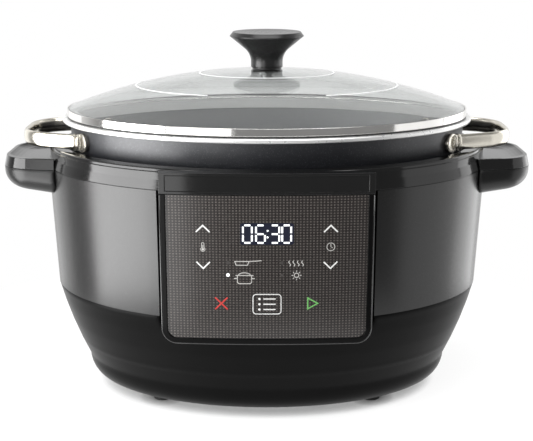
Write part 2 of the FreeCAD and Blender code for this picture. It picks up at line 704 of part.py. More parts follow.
def handle_grip():
    """Lower shell of the right-hand side handle, rounded underneath and open at the top."""
    top = WALL_TOP - SEAM_GAP
    solid = handle_loft(GRIP_LOW, 0, top, 0).cut(grip_underside())
    under = [edge for edge in solid.Edges
             if max(abs(grip_height_over_underside(vertex.Point)) for vertex in edge.Vertexes) < FIT_GAP
             and edge.BoundBox.XMax > HANDLE_ROOT + JOIN]
    solid = solid.makeFillet(GRIP_ROUND, under)
    pocket = handle_loft(GRIP_BOTTOM + GRIP_WALL, GRIP_ROUND, top, GRIP_WALL)
    bosses = [post(x, y, GRIP_BOTTOM, top, GRIP_BOSS_RADIUS) for x, y in handle_screw_places(1)]
    body = fuse_all([solid.cut(pocket)] + bosses)
    cuts = []
    for x, y in handle_screw_places(1):
        cuts.append(screw_hole(x, y, GRIP_LOW - CUT_OVER, top + CUT_OVER))
        head_end = grip_screw_level() + SCREW_HEAD
        cuts.append(post(x, y, GRIP_LOW - CUT_OVER, head_end, SCREW_HEAD_RADIUS + FIT_GAP))
    body = body.cut(Part.makeCompound(cuts))
    return body.cut(wall_solid(-FIT_GAP, BASE_TOP, COLLAR_TOP)).Solids[0]


def grip_screw_level():
    """Height of the head faces of the side handles' screws."""
    return WALL_TOP + GRIP_SCREW_BITE - SCREW_LENGTH - SCREW_HEAD


def handle_screws():
    """Screws that pull the grips up against the collar."""
    places = handle_screw_places(-1) + handle_screw_places(1)
    return Part.makeCompound([screw(x, y, grip_screw_level()) for x, y in places])


# Control panel

def panel_outline(half, low, high, corner):
    """Upright outline in the XZ plane, round at its two lower corners."""
    across = half - corner
    dip = corner * math.sqrt(0.5)
    left = Vector(-across, 0, low + corner)
    right = Vector(across, 0, low + corner)
    points = [Vector(-half, 0, high), Vector(half, 0, high), right + Vector(corner, 0, 0),
              right - Vector(0, 0, corner), left - Vector(0, 0, corner), left - Vector(corner, 0, 0)]
    edges = [
        Part.LineSegment(points[0], points[1]).toShape(),
        Part.LineSegment(points[1], points[2]).toShape(),
        Part.Arc(points[2], right + Vector(dip, 0, -dip), points[3]).toShape(),
        Part.LineSegment(points[3], points[4]).toShape(),
        Part.Arc(points[4], left + Vector(-dip, 0, -dip), points[5]).toShape(),
        Part.LineSegment(points[5], points[0]).toShape(),
    ]
    return Part.Face(Part.Wire(edges))


def panel_prism(inset, high):
    """Prism of the panel's outline from in front of its face to its back."""
    face = panel_outline(PANEL_HALF - inset, PANEL_BOTTOM + inset, high, PANEL_CORNER - inset)
    face.translate(Vector(0, PANEL_FRONT - CUT_OVER, 0))
    return face.extrude(Vector(0, PANEL_DEPTH + CUT_OVER, 0))


def panel_notch():
    """Cut in the base's upper edge that takes the lower end of the panel."""
    high = BASE_TOP + SPIGOT_HEIGHT + CUT_OVER
    half = PANEL_HALF + PANEL_GROOVE
    face = panel_outline(half, PANEL_BOTTOM - SEAM_GAP, high, PANEL_CORNER + PANEL_GROOVE)
    face.translate(Vector(0, PANEL_FRONT - FRONT_CLEAR, 0))
    return face.extrude(Vector(0, -PANEL_FRONT, 0))


def panel_bezel():
    """Frame of the fascia: chamfered front edge, deep sides and clip flanges behind the wall."""
    frame = panel_prism(0, PANEL_TOP).cut(panel_prism(PANEL_FRAME, PANEL_TOP + CUT_OVER))
    edge = panel_prism(0, PANEL_TOP).cut(panel_prism(BEZEL_CHAMFER, PANEL_TOP + CUT_OVER))
    frame = frame.common(panel_slab(0, PANEL_DEPTH + 2 * PANEL_SAG))
    frame = frame.cut(edge.common(panel_slab(-CUT_OVER, BEZEL_CHAMFER)))
    flanges = []
    for side in (-1, 1):
        x_pair = sorted((side * (PANEL_HALF - JOIN), side * (PANEL_HALF + PANEL_FLANGE)))
        flanges.append(box(*x_pair, PANEL_BACK - PANEL_FLANGE_THICKNESS, PANEL_BACK,
                           BASE_TOP + SPIGOT_HEIGHT + PANEL_FLANGE_THICKNESS,
                           PANEL_TOP - SPIGOT_HEIGHT - PANEL_FLANGE_THICKNESS))
    return fuse_all([frame] + flanges)


def touch_fascia():
    """Curved touch window in the bezel."""
    prism = panel_prism(PANEL_FRAME + FIT_GAP, PANEL_TOP - FIT_GAP)
    return prism.common(panel_slab(FASCIA_RECESS, FASCIA_RECESS + FASCIA_THICKNESS))


def control_board_holes():
    """Screw places of the control board as (x, z)."""
    inset = STANDOFF_INSET
    return [(sx * (CONTROL_BOARD_HALF - inset), z) for sx in (-1, 1)
            for z in (CONTROL_BOARD_LOW + inset, CONTROL_BOARD_HIGH - inset)]


def panel_carrier():
    """Tray behind the control board, with its standoffs, held between the bezel's sides."""
    plate = box(-FASCIA_HALF, FASCIA_HALF, CARRIER_FRONT, CARRIER_BACK,
                CONTROL_BOARD_LOW - STANDOFF_INSET, CONTROL_BOARD_HIGH + STANDOFF_INSET)
    studs = [across(x, z, BOARD_BACK, CARRIER_FRONT + JOIN, STANDOFF_RADIUS)
             for x, z in control_board_holes()]
    holes = [across(x, z, BOARD_BACK - CUT_OVER, CARRIER_BACK + CUT_OVER, SCREW_RADIUS + SCREW_GAP)
             for x, z in control_board_holes()]
    return fuse_all([plate] + studs).cut(Part.makeCompound(holes))


def control_board():
    """Printed board behind the fascia."""
    board = box(-CONTROL_BOARD_HALF, CONTROL_BOARD_HALF, BOARD_FRONT, BOARD_BACK,
                CONTROL_BOARD_LOW, CONTROL_BOARD_HIGH)
    holes = [across(x, z, BOARD_FRONT - CUT_OVER, BOARD_BACK + CUT_OVER, SCREW_RADIUS + SCREW_GAP)
             for x, z in control_board_holes()]
    return board.cut(Part.makeCompound(holes))


def control_board_screws():
    """Screws through the control board into its carrier."""
    screws = []
    for x, z in control_board_holes():
        head = across(x, z, BOARD_FRONT - SCREW_HEAD, BOARD_FRONT, SCREW_HEAD_RADIUS)
        shank = across(x, z, BOARD_FRONT, CARRIER_BACK, SCREW_RADIUS)
        screws.append(head.fuse(shank))
    return Part.makeCompound(screws)


def display_module():
    """Digit display between the control board and the fascia."""
    return box(-DISPLAY_WIDTH / 2, DISPLAY_WIDTH / 2, FASCIA_BACK + DISPLAY_GAP, BOARD_FRONT,
               DISPLAY_LEVEL - DISPLAY_HEIGHT / 2, DISPLAY_LEVEL + DISPLAY_HEIGHT / 2)


def indicator_lamps():
    """Four small lamps on the control board, close behind the fascia."""
    lamps = []
    for x in (LAMP_LEFT, LAMP_RIGHT):
        sag = x * x / (2 * PANEL_CURVE)
        for z in (LAMP_HIGH, LAMP_LOW):
            lamps.append(across(x, z, FASCIA_BACK + sag + LAMP_GAP, BOARD_FRONT, LAMP_RADIUS))
    return Part.makeCompound(lamps)


# Pot

def pot_half(level):
    """Half length of the pot's drafted outside at a height."""
    share = (level - POT_FLOOR_LEVEL) / (POT_RIM_LEVEL - POT_FLOOR_LEVEL)
    return POT_BOTTOM_HALF + share * (POT_WALL_HALF - POT_BOTTOM_HALF)


def drafted_cup(offset, floor, top, corner):
    """Solid parallel to the pot's outside, with a rounded foot."""
    shoulder = floor + corner
    foot_form = rounded_edge(floor, pot_half(shoulder) + offset, corner, corner, -1)
    return oval_loft(foot_form + side_sections(shoulder, top, lambda level: pot_half(level) + offset))


def pot_rim():
    """Flat flange of the pot's rim, round at both edges."""
    lower = rounded_edge(POT_RIM_LEVEL, POT_RIM_HALF, POT_RIM_ROUND, POT_RIM_ROUND, -1)
    upper = rounded_edge(POT_RIM_TOP, POT_RIM_HALF, POT_RIM_ROUND, POT_RIM_ROUND, 1)
    return oval_loft(lower + upper)


def cooking_pot():
    """Cast pot with a rounded foot and a flat rim flange, drilled for the loop rivets."""
    outside = drafted_cup(0, POT_FLOOR_LEVEL, POT_RIM_TOP, POT_CORNER)
    floor = POT_FLOOR_LEVEL + POT_FLOOR
    inside = drafted_cup(-POT_WALL, floor, POT_RIM_TOP + CUT_OVER, POT_CORNER - POT_WALL)
    pot = outside.fuse(pot_rim()).cut(inside)
    holes = [rivet_shank(side, end, SCREW_GAP) for side in (-1, 1) for end in (-1, 1)]
    return pot.cut(Part.makeCompound(holes))


def loop_points():
    """Corner points of the right-hand loop's centre line: root, touch, bulge and tip."""
    splay = math.radians(LOOP_SPLAY)
    centre = Vector(LOOP_TIP - LOOP_CORNER, LOOP_FLAT, LOOP_LEVEL)
    touch = centre + Vector(LOOP_CORNER * math.sin(splay), LOOP_CORNER * math.cos(splay), 0)
    middle = math.radians(45 - LOOP_SPLAY / 2)
    bulge = centre + Vector(LOOP_CORNER * math.cos(middle), LOOP_CORNER * math.sin(middle), 0)
    tip = centre + Vector(LOOP_CORNER, 0, 0)
    root = Vector(LOOP_ROOT, touch.y + (touch.x - LOOP_ROOT) * math.tan(splay), LOOP_LEVEL)
    return root, touch, bulge, tip


def loop_direction():
    """Unit vector along the loop's arm, from its root outwards."""
    root, touch, bulge, tip = loop_points()
    return (touch - root).normalize()


def flip_y(point):
    """Mirror image of a point about the X axis."""
    return Vector(point.x, -point.y, point.z)


def loop_section(place, height, width):
    """Upright oval wire square to the loop's arm."""
    along = loop_direction()
    up = Vector(0, 0, height / 2)
    side = Vector(0, 0, 1).cross(along) * (width / 2)
    return Part.Wire([Part.Ellipse(place + up, place + side, place).toShape()])


def loop_root_place():
    """Point where the arm's centre line meets the pot's wall, and the wall's outward direction there."""
    along = loop_direction()
    root = loop_points()[0]
    half = pot_half(LOOP_LEVEL)
    width = half - OVAL_DIFFERENCE
    square = (along.x / half) ** 2 + (along.y / width) ** 2
    cross = root.x * along.x / half ** 2 + root.y * along.y / width ** 2
    rest = (root.x / half) ** 2 + (root.y / width) ** 2 - 1
    distance = (-cross + math.sqrt(cross ** 2 - square * rest)) / square
    place = root + along * distance
    outward = Vector(place.x / half ** 2, place.y / width ** 2, 0).normalize()
    return place, outward


def loop_rings():
    """Two beads around the arm where it meets the pot."""
    along = loop_direction()
    place = loop_root_place()[0]
    beads = []
    for index in range(2):
        start = place + along * (LOOP_RING_START + index * LOOP_RING_PITCH)
        face = Part.Face(loop_section(start, LOOP_RING_HEIGHT, LOOP_RING_WIDTH))
        beads.append(face.extrude(along * LOOP_RING_THICKNESS))
    return beads


def loop_pad():
    """Round pad at the arm's root that lies on the pot's wall."""
    place, outward = loop_root_place()
    start = place - outward * POT_WALL
    return Part.makeCylinder(LOOP_PAD_RADIUS, LOOP_PAD_THICKNESS + POT_WALL, start, outward)


def loop_handle():
    """Right-hand loop handle: one bent bar with beads and pads at its roots, cut to the pot's wall."""
    root, touch, bulge, tip = loop_points()
    points = [flip_y(p) for p in (root, touch, bulge, tip)]
    path = Part.Wire([
        Part.LineSegment(root, touch).toShape(),
        Part.Arc(touch, bulge, tip).toShape(),
        Part.LineSegment(tip, points[3]).toShape(),
        Part.Arc(points[3], points[2], points[1]).toShape(),
        Part.LineSegment(points[1], points[0]).toShape(),
    ])
    section = loop_section(root, LOOP_SECTION_HEIGHT, LOOP_SECTION_WIDTH)
    bar = path.makePipeShell([section], True, False)
    ends = loop_rings() + [loop_pad()]
    ends += [end.mirror(Vector(0, 0, 0), Vector(0, 1, 0)) for end in ends]
    body = bar.multiFuse(ends)
    low = LOOP_LEVEL - LOOP_RING_HEIGHT
    high = LOOP_LEVEL + LOOP_RING_HEIGHT
    body = body.cut(oval_loft([(low, pot_half(low) + FIT_GAP), (high, pot_half(high) + FIT_GAP)]))
    holes = [rivet_shank(1, end, SCREW_GAP) for end in (-1, 1)]
    return body.cut(Part.makeCompound(holes)).Solids[0]


def rivet_shank(side, end, gap):
    """Shank of one rivet, square to the pot's wall, from its head into the loop's pad."""
    place, outward = loop_root_place()
    start = place - outward * (POT_WALL + RIVET_HEAD_STANDOFF)
    length = POT_WALL + RIVET_HEAD_STANDOFF + RIVET_GRIP + gap
    return placed_end(Part.makeCylinder(RIVET_RADIUS + gap, length, start, outward), side, end)


def placed_end(shape, side, end):
    """Copy of a right-hand rear root shape at any of the four roots."""
    if end < 0:
        shape = shape.mirror(Vector(0, 0, 0), Vector(0, 1, 0))
    return shape if side > 0 else mirror_x(shape)


def rivet(side, end):
    """One rivet with its flat head inside the pot."""
    place, outward = loop_root_place()
    start = place - outward * (POT_WALL + RIVET_HEAD_STANDOFF + RIVET_HEAD_HEIGHT)
    head = Part.makeCylinder(RIVET_HEAD_RADIUS, RIVET_HEAD_HEIGHT, start, outward)
    return rivet_shank(side, end, 0).fuse(placed_end(head, side, end)).removeSplitter()


def loop_rivets(side):
    """The two rivets of one loop handle."""
    return Part.makeCompound([rivet(side, end) for end in (-1, 1)])


# Heating well

def well_liner():
    """Sheet-metal well around the pot, hung from the collar by its flange."""
    inner = LINER_CLEARANCE
    outer = LINER_CLEARANCE + LINER_THICKNESS
    corner = POT_CORNER
    wall = drafted_cup(outer, LINER_FLOOR, LINER_TOP, corner)
    flange_half = pot_half(LINER_TOP) + outer + LINER_FLANGE
    flange = oval_disc(LINER_TOP - LINER_THICKNESS, LINER_TOP, flange_half)
    floor = LINER_FLOOR + LINER_THICKNESS
    hollow = drafted_cup(inner, floor, LINER_TOP + CUT_OVER, corner - LINER_THICKNESS)
    opening = oval_disc(LINER_FLOOR - CUT_OVER, PLATE_TOP, PLATE_HALF + PLATE_OPENING_GAP)
    return wall.fuse(flange).cut(hollow).cut(opening)


def element_path():
    """Race-track centre line of the heating tube, broken at the front for its two pins."""
    run = ELEMENT_RUN
    bend = ELEMENT_BEND

    def at(x, y):
        return Vector(x, y, ELEMENT_LEVEL)

    return Part.Wire([
        Part.LineSegment(at(-ELEMENT_BREAK, -bend), at(-run, -bend)).toShape(),
        Part.Arc(at(-run, -bend), at(-run - bend, 0), at(-run, bend)).toShape(),
        Part.LineSegment(at(-run, bend), at(run, bend)).toShape(),
        Part.Arc(at(run, bend), at(run + bend, 0), at(run, -bend)).toShape(),
        Part.LineSegment(at(run, -bend), at(ELEMENT_BREAK, -bend)).toShape(),
    ])


def element_sweep(section):
    """Solid of an upright section, drawn at the start of the tube's path, swept along it."""
    return element_path().makePipeShell([section], True, False)


def element_groove():
    """Channel in the plate's underside that takes the tube."""
    half = ELEMENT_RADIUS + FIT_GAP
    low = PLATE_BOTTOM - CUT_OVER
    high = ELEMENT_LEVEL + half
    sides = [(-half, low), (half, low), (half, high), (-half, high), (-half, low)]
    section = Part.makePolygon([Vector(-ELEMENT_BREAK, y - ELEMENT_BEND, z) for y, z in sides])
    return element_sweep(section)


def heating_plate():
    """Cast plate with a rounded edge, a channel for the tube and a hole for the sensor."""
    edge = rounded_edge(PLATE_TOP, PLATE_HALF, PLATE_EDGE_ROUND, PLATE_EDGE_ROUND, 1)
    plate = oval_loft([(PLATE_BOTTOM, PLATE_HALF)] + edge)
    hole = post(0, 0, PLATE_BOTTOM - CUT_OVER, PLATE_TOP + CUT_OVER, SENSOR_CAP_RADIUS + SENSOR_SIDE_GAP)
    return plate.cut(hole).cut(element_groove())


def heating_element():
    """Tubular heater with two connection pins pointing down."""
    pins = []
    for side in (-1, 1):
        x = side * (ELEMENT_BREAK + ELEMENT_RADIUS)
        pin_end = ELEMENT_LEVEL - ELEMENT_PIN_LENGTH
        pins.append(post(x, -ELEMENT_BEND, pin_end, ELEMENT_LEVEL, ELEMENT_PIN_RADIUS))
    start = Vector(-ELEMENT_BREAK, -ELEMENT_BEND, ELEMENT_LEVEL)
    circle = Part.Wire([Part.Circle(start, Vector(1, 0, 0), ELEMENT_RADIUS).toShape()])
    return fuse_all([element_sweep(circle)] + pins)


def plate_posts():
    """Stepped posts that carry the heating plate over the deck and clamp the shield."""
    posts = []
    for x, y in corners(POST_X, POST_Y):
        foot_part = post(x, y, DECK_TOP, SHIELD_LEVEL, POST_FOOT_RADIUS)
        upper = post(x, y, SHIELD_LEVEL, PLATE_BOTTOM, POST_RADIUS)
        bore = screw_hole(x, y, DECK_TOP - CUT_OVER, DECK_TOP + SCREW_LENGTH)
        posts.append(foot_part.fuse(upper).removeSplitter().cut(bore))
    return Part.makeCompound(posts)


def post_screws():
    """Screws that hold the posts from under the deck."""
    head_level = DECK_HEIGHT - SCREW_HEAD
    return Part.makeCompound([screw(x, y, head_level) for x, y in corners(POST_X, POST_Y)])


def heat_shield():
    """Reflector dish under the heating plate, resting on the posts' steps."""
    top = SHIELD_LEVEL + SHIELD_THICKNESS
    dish = oval_disc(SHIELD_LEVEL, top, SHIELD_HALF)
    lip = oval_ring(SHIELD_LEVEL, SHIELD_LEVEL + SHIELD_LIP, SHIELD_HALF - SHIELD_THICKNESS, SHIELD_HALF)
    low = SHIELD_LEVEL - CUT_OVER
    high = top + CUT_OVER
    cuts = [post(x, y, low, high, POST_RADIUS + FIT_GAP) for x, y in corners(POST_X, POST_Y)]
    cuts.append(post(0, 0, low, high, GUIDE_FLANGE_RADIUS + FIT_GAP))
    for side in (-1, 1):
        x = side * (ELEMENT_BREAK + ELEMENT_RADIUS)
        cuts.append(post(x, -ELEMENT_BEND, low, high, 2 * ELEMENT_PIN_RADIUS))
    return fuse_all([dish, lip]).cut(Part.makeCompound(cuts))


# Temperature sensor

def sensor_cap():
    """Round sensor cap with a skirt and a guide stem."""
    top = post(0, 0, SENSOR_CAP_UNDER, SENSOR_TOP, SENSOR_CAP_RADIUS)
    skirt = post(0, 0, SENSOR_TOP - SENSOR_SKIRT, SENSOR_TOP, SENSOR_CAP_RADIUS)
    skirt = skirt.cut(post(0, 0, SENSOR_TOP - SENSOR_SKIRT - CUT_OVER, SENSOR_TOP + CUT_OVER,
                           SENSOR_CAP_RADIUS - SENSOR_CAP_THICKNESS / 2))
    stem = post(0, 0, SENSOR_STEM_END, SENSOR_CAP_UNDER + JOIN, SENSOR_STEM_RADIUS)
    return fuse_all([top, skirt, stem])


def sensor_guide():
    """Flanged bush on the deck in which the sensor's stem slides."""
    tube = post(0, 0, DECK_TOP, GUIDE_TOP, GUIDE_RADIUS)
    flange = post(0, 0, DECK_TOP, DECK_TOP + GUIDE_FLANGE, GUIDE_FLANGE_RADIUS)
    bore = post(0, 0, DECK_TOP - CUT_OVER, GUIDE_TOP + CUT_OVER, SENSOR_STEM_RADIUS + LIFT_GAP)
    return fuse_all([tube, flange]).cut(bore)


def sensor_spring():
    """Sleeve that a compression spring fills around the guide, under the sensor's cap."""
    low = DECK_TOP + GUIDE_FLANGE
    high = SENSOR_CAP_UNDER - LIFT_GAP
    sleeve = post(0, 0, low, high, SPRING_RADIUS + SPRING_WIRE)
    return sleeve.cut(post(0, 0, low - CUT_OVER, high + CUT_OVER, SPRING_RADIUS - SPRING_WIRE))


def thermal_fuse():
    """Thermal cut-out lying against the underside of the heating plate."""
    level = PLATE_BOTTOM - FUSE_RADIUS - SEAT_GAP
    return across(FUSE_X, level, -FUSE_LENGTH / 2, FUSE_LENGTH / 2, FUSE_RADIUS)


def fuse_clip():
    """Bent sheet clip with a fixing tab that holds the thermal cut-out up to the plate."""
    level = PLATE_BOTTOM - FUSE_RADIUS - SEAT_GAP
    top = PLATE_BOTTOM - SEAT_GAP / 2
    inner = FUSE_RADIUS + SEAT_GAP / 2
    outer = inner + CLIP_THICKNESS
    end = outer + CLIP_TAB

    def at(x, z):
        return Vector(FUSE_X + x, -CLIP_WIDTH / 2, z)

    tab = [at(inner, top), at(end, top), at(end, top - CLIP_THICKNESS), at(outer, top - CLIP_THICKNESS)]
    edges = [Part.makePolygon(tab + [at(outer, level)]).Edges]
    edges.append([Part.Arc(at(outer, level), at(0, level - outer), at(-outer, level)).toShape()])
    far_side = [at(-outer, level), at(-outer, top), at(-inner, top), at(-inner, level)]
    edges.append(Part.makePolygon(far_side).Edges)
    edges.append([Part.Arc(at(-inner, level), at(0, level - inner), at(inner, level)).toShape()])
    edges.append([Part.LineSegment(at(inner, level), at(inner, top)).toShape()])
    profile = Part.Face(Part.Wire(sum(edges, [])))
    return profile.extrude(Vector(0, CLIP_WIDTH, 0))


# Power electronics

def power_board_holes():
    """Screw places of the power board."""
    x_half = POWER_BOARD_LENGTH / 2 - STANDOFF_INSET
    y_half = POWER_BOARD_WIDTH / 2 - STANDOFF_INSET
    return [(POWER_BOARD_X + x, POWER_BOARD_Y + y) for x, y in corners(x_half, y_half)]


def power_board():
    """Printed board on the bottom cover's standoffs."""
    x_half = POWER_BOARD_LENGTH / 2
    y_half = POWER_BOARD_WIDTH / 2
    board = box(POWER_BOARD_X - x_half, POWER_BOARD_X + x_half,
                POWER_BOARD_Y - y_half, POWER_BOARD_Y + y_half, POWER_BOARD_LEVEL, POWER_BOARD_TOP)
    holes = [screw_hole(x, y, POWER_BOARD_LEVEL - CUT_OVER, POWER_BOARD_TOP + CUT_OVER)
             for x, y in power_board_holes()]
    return board.cut(Part.makeCompound(holes))


def power_board_screws():
    """Short screws through the power board into its standoffs."""
    screws = []
    for x, y in power_board_holes():
        head = post(x, y, POWER_BOARD_TOP, POWER_BOARD_TOP + SCREW_HEAD, SCREW_HEAD_RADIUS)
        screws.append(head.fuse(post(x, y, COVER_TOP, POWER_BOARD_TOP, SCREW_RADIUS)))
    return Part.makeCompound(screws)


def on_board(size, place):
    """Block of a size standing on the power board, centred at a place on it."""
    length, width, height = size
    x_mid = POWER_BOARD_X + place[0]
    y_mid = POWER_BOARD_Y + place[1]
    return box(x_mid - length / 2, x_mid + length / 2, y_mid - width / 2, y_mid + width / 2,
               POWER_BOARD_TOP, POWER_BOARD_TOP + height)


def transformer():
    """Small mains transformer on the power board."""
    return on_board(TRANSFORMER_SIZE, TRANSFORMER_PLACE)


def relay():
    """Heater relay on the power board."""
    return on_board(RELAY_SIZE, RELAY_PLACE)


def terminal_block():
    """Screw terminals for the mains lead, near the gland."""
    return on_board(TERMINAL_SIZE, TERMINAL_PLACE)


def capacitor():
    """Smoothing capacitor on the power board."""
    x, y = CAPACITOR_PLACE
    return post(POWER_BOARD_X + x, POWER_BOARD_Y + y, POWER_BOARD_TOP, POWER_BOARD_TOP + CAPACITOR_LENGTH,
                CAPACITOR_RADIUS)


# Lid

def lid_band():
    """Pressed steel band around the glass: outer wall, floor, inner skirt and seating foot."""
    inner = LID_INNER_HALF
    floor_top = LID_BAND_LOW + LID_BAND_SHEET
    skirt = oval_ring(LID_BAND_LOW - LID_SKIRT_DEPTH, floor_top, inner, inner + LID_BAND_SHEET)
    floor = oval_ring(LID_BAND_LOW, floor_top, inner, LID_BAND_HALF)
    wall = oval_ring(LID_BAND_LOW, LID_BAND_TOP, LID_BAND_HALF - LID_BAND_SHEET, LID_BAND_HALF)
    seat_inner = POT_MOUTH_HALF + LID_SEAT_INSET
    seat_top = LID_BAND_LOW + LID_BAND_SHEET / 2
    seat = oval_ring(LID_SEAT_LEVEL, seat_top, seat_inner, seat_inner + LID_SEAT_WIDTH)
    return fuse_all([skirt, floor, wall, seat])


def lid_seal():
    """Flat silicone seal between the band's floor and the glass."""
    low = LID_BAND_LOW + LID_BAND_SHEET
    return oval_ring(low, low + SEAL_THICKNESS, LID_INNER_HALF + FIT_GAP, GLASS_HALF)


def dome_arc(edge_level, rise, radius):
    """Edge of a shallow arc from the rim to the axis in the XZ plane."""
    curve = (radius ** 2 + rise ** 2) / (2 * rise)
    middle_x = radius / 2
    middle_z = edge_level + rise - curve + math.sqrt(curve ** 2 - middle_x ** 2)
    return Part.Arc(Vector(radius, 0, edge_level), Vector(middle_x, 0, middle_z),
                    Vector(0, 0, edge_level + rise)).toShape()


def lid_glass():
    """Domed oval glass with a hole for the knob's screw."""
    low = GLASS_EDGE
    high = GLASS_EDGE + GLASS_THICKNESS
    outer = dome_arc(high, GLASS_RISE, GLASS_HALF)
    inner = dome_arc(low, GLASS_RISE, GLASS_HALF)
    side = Part.LineSegment(Vector(GLASS_HALF, 0, low), Vector(GLASS_HALF, 0, high)).toShape()
    axis = Part.LineSegment(Vector(0, 0, low + GLASS_RISE), Vector(0, 0, high + GLASS_RISE)).toShape()
    profile = Part.Face(Part.Wire(Part.__sortEdges__([side, outer, axis, inner])))
    round_dome = profile.revolve(Vector(0, 0, 0), Vector(0, 0, 1), 360)
    squeeze = FreeCAD.Matrix()
    squeeze.scale(1, (GLASS_HALF - OVAL_DIFFERENCE) / GLASS_HALF, 1)
    dome = round_dome.transformGeometry(squeeze)
    return dome.cut(post(0, 0, low, GLASS_TOP + CUT_OVER, GLASS_HOLE_RADIUS))


def knob_profile():
    """Closed half section of the knob: dished top, bevel, cone, concave neck and bore."""
    head = Vector(KNOB_HEAD_RADIUS, 0, KNOB_TOP - KNOB_HEAD_DROP)
    cone = Vector(KNOB_CONE_RADIUS, 0, KNOB_TOP - KNOB_CONE_DROP)
    slope = math.atan2(KNOB_CONE_DROP - KNOB_HEAD_DROP, KNOB_HEAD_RADIUS - KNOB_CONE_RADIUS)
    turn = math.pi / 2 - slope
    sweep = (KNOB_CONE_RADIUS - KNOB_NECK_RADIUS) / (1 - math.cos(turn))
    neck = Vector(KNOB_NECK_RADIUS, 0, cone.z - sweep * math.sin(turn))
    centre = Vector(KNOB_NECK_RADIUS + sweep, 0, neck.z)
    half_turn = turn / 2
    middle = centre + Vector(-sweep * math.cos(half_turn), 0, sweep * math.sin(half_turn))
    rim = Vector(KNOB_TOP_RADIUS, 0, KNOB_TOP)
    dish = Vector(0, 0, KNOB_TOP - KNOB_DISH)
    dish_curve = (KNOB_TOP_RADIUS ** 2 + KNOB_DISH ** 2) / (2 * KNOB_DISH)
    dish_middle_rise = dish_curve - math.sqrt(dish_curve ** 2 - KNOB_TOP_RADIUS ** 2 / 4)
    dish_middle = dish + Vector(KNOB_TOP_RADIUS / 2, 0, dish_middle_rise)
    bottom_out = Vector(KNOB_NECK_RADIUS, 0, KNOB_BOTTOM)
    bottom_in = Vector(0, 0, KNOB_BOTTOM)
    edges = [
        Part.LineSegment(bottom_in, bottom_out).toShape(),
        Part.LineSegment(bottom_out, neck).toShape(),
        Part.Arc(neck, middle, cone).toShape(),
        Part.LineSegment(cone, head).toShape(),
        Part.LineSegment(head, rim).toShape(),
        Part.Arc(rim, dish_middle, dish).toShape(),
        Part.LineSegment(dish, bottom_in).toShape(),
    ]
    return Part.Face(Part.Wire(edges))


def lid_knob():
    """Flared knob with a blind bore for its screw."""
    knob = knob_profile().revolve(Vector(0, 0, 0), Vector(0, 0, 1), 360)
    bore_top = knob_screw_head_top() + KNOB_SCREW_LENGTH + FIT_GAP
    return knob.cut(post(0, 0, KNOB_BOTTOM - CUT_OVER, bore_top, KNOB_SCREW_RADIUS + SCREW_GAP))


def knob_seat():
    """Silicone washer between the knob and the glass."""
    low = GLASS_TOP + SEAT_GAP / 2
    high = low + KNOB_SEAT_THICKNESS
    ring = post(0, 0, low, high, KNOB_NECK_RADIUS - KNOB_SEAT_INSET)
    return ring.cut(post(0, 0, low - CUT_OVER, high + CUT_OVER, KNOB_SCREW_RADIUS + SCREW_GAP))


def knob_washer_top():
    """Height of the washer's top face under the glass."""
    return GLASS_TOP - GLASS_THICKNESS - KNOB_WASHER_RADIUS ** 2 / GLASS_HALF


def knob_washer():
    """Steel washer under the glass."""
    top = knob_washer_top()
    low = top - KNOB_WASHER
    ring = post(0, 0, low, top, KNOB_WASHER_RADIUS)
    return ring.cut(post(0, 0, low - CUT_OVER, top + CUT_OVER, KNOB_SCREW_RADIUS + SCREW_GAP))


def knob_screw_head_top():
    """Height of the knob screw's head, where it meets the washer."""
    return knob_washer_top() - KNOB_WASHER


def knob_screw():
    """Screw that clamps the knob through the glass."""
    top = knob_screw_head_top()
    head = post(0, 0, top - KNOB_SCREW_HEAD, top, KNOB_SCREW_HEAD_RADIUS)
    shank = post(0, 0, top, top + KNOB_SCREW_LENGTH, KNOB_SCREW_RADIUS)
    return head.fuse(shank)


def all_pieces():
    """Every node's name and shape."""
    grip = handle_grip()
    loop = loop_handle()
    pieces = {
        "base_shell": base_shell(),
        "bottom_cover": bottom_cover(),
        "cover_screws": cover_screws(),
        "cord_gland": cord_gland(),
        "outer_wall": outer_wall(),
        "top_collar": top_collar(),
        "handle_grip_right": grip,
        "handle_grip_left": mirror_x(grip),
        "handle_screws": handle_screws(),
        "header_strip": header_strip(),
        "panel_bezel": panel_bezel(),
        "touch_fascia": touch_fascia(),
        "panel_carrier": panel_carrier(),
        "control_board": control_board(),
        "control_board_screws": control_board_screws(),
        "display_module": display_module(),
        "indicator_lamps": indicator_lamps(),
        "well_liner": well_liner(),
        "heating_plate": heating_plate(),
        "heating_element": heating_element(),
        "plate_posts": plate_posts(),
        "post_screws": post_screws(),
        "heat_shield": heat_shield(),
        "sensor_guide": sensor_guide(),
        "sensor_cap": sensor_cap(),
        "sensor_spring": sensor_spring(),
        "thermal_fuse": thermal_fuse(),
        "fuse_clip": fuse_clip(),
        "power_board": power_board(),
        "power_board_screws": power_board_screws(),
        "transformer": transformer(),
        "relay": relay(),
        "terminal_block": terminal_block(),
        "capacitor": capacitor(),
        "cooking_pot": cooking_pot(),
        "pot_handle_right": loop,
        "pot_handle_left": mirror_x(loop),
        "pot_rivets_right": loop_rivets(1),
        "pot_rivets_left": loop_rivets(-1),
        "lid_band": lid_band(),
        "lid_seal": lid_seal(),
        "lid_glass": lid_glass(),
        "lid_knob": lid_knob(),
        "knob_seat": knob_seat(),
        "knob_washer": knob_washer(),
        "knob_screw": knob_screw(),
    }
    for x, y in corners(FOOT_X, FOOT_Y):
        end = "rear" if y > 0 else "front"
        side = "right" if x > 0 else "left"
        pieces["foot_{}_{}".format(end, side)] = foot(x, y)
    return pieces


def main():
    """Write one file per piece."""
    os.makedirs("parts", exist_ok=True)
    for name, shape in all_pieces().items():
        shape.translate(CENTRING)
        shape.exportStep("parts/{}.step".format(name))


main()
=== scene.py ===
import math

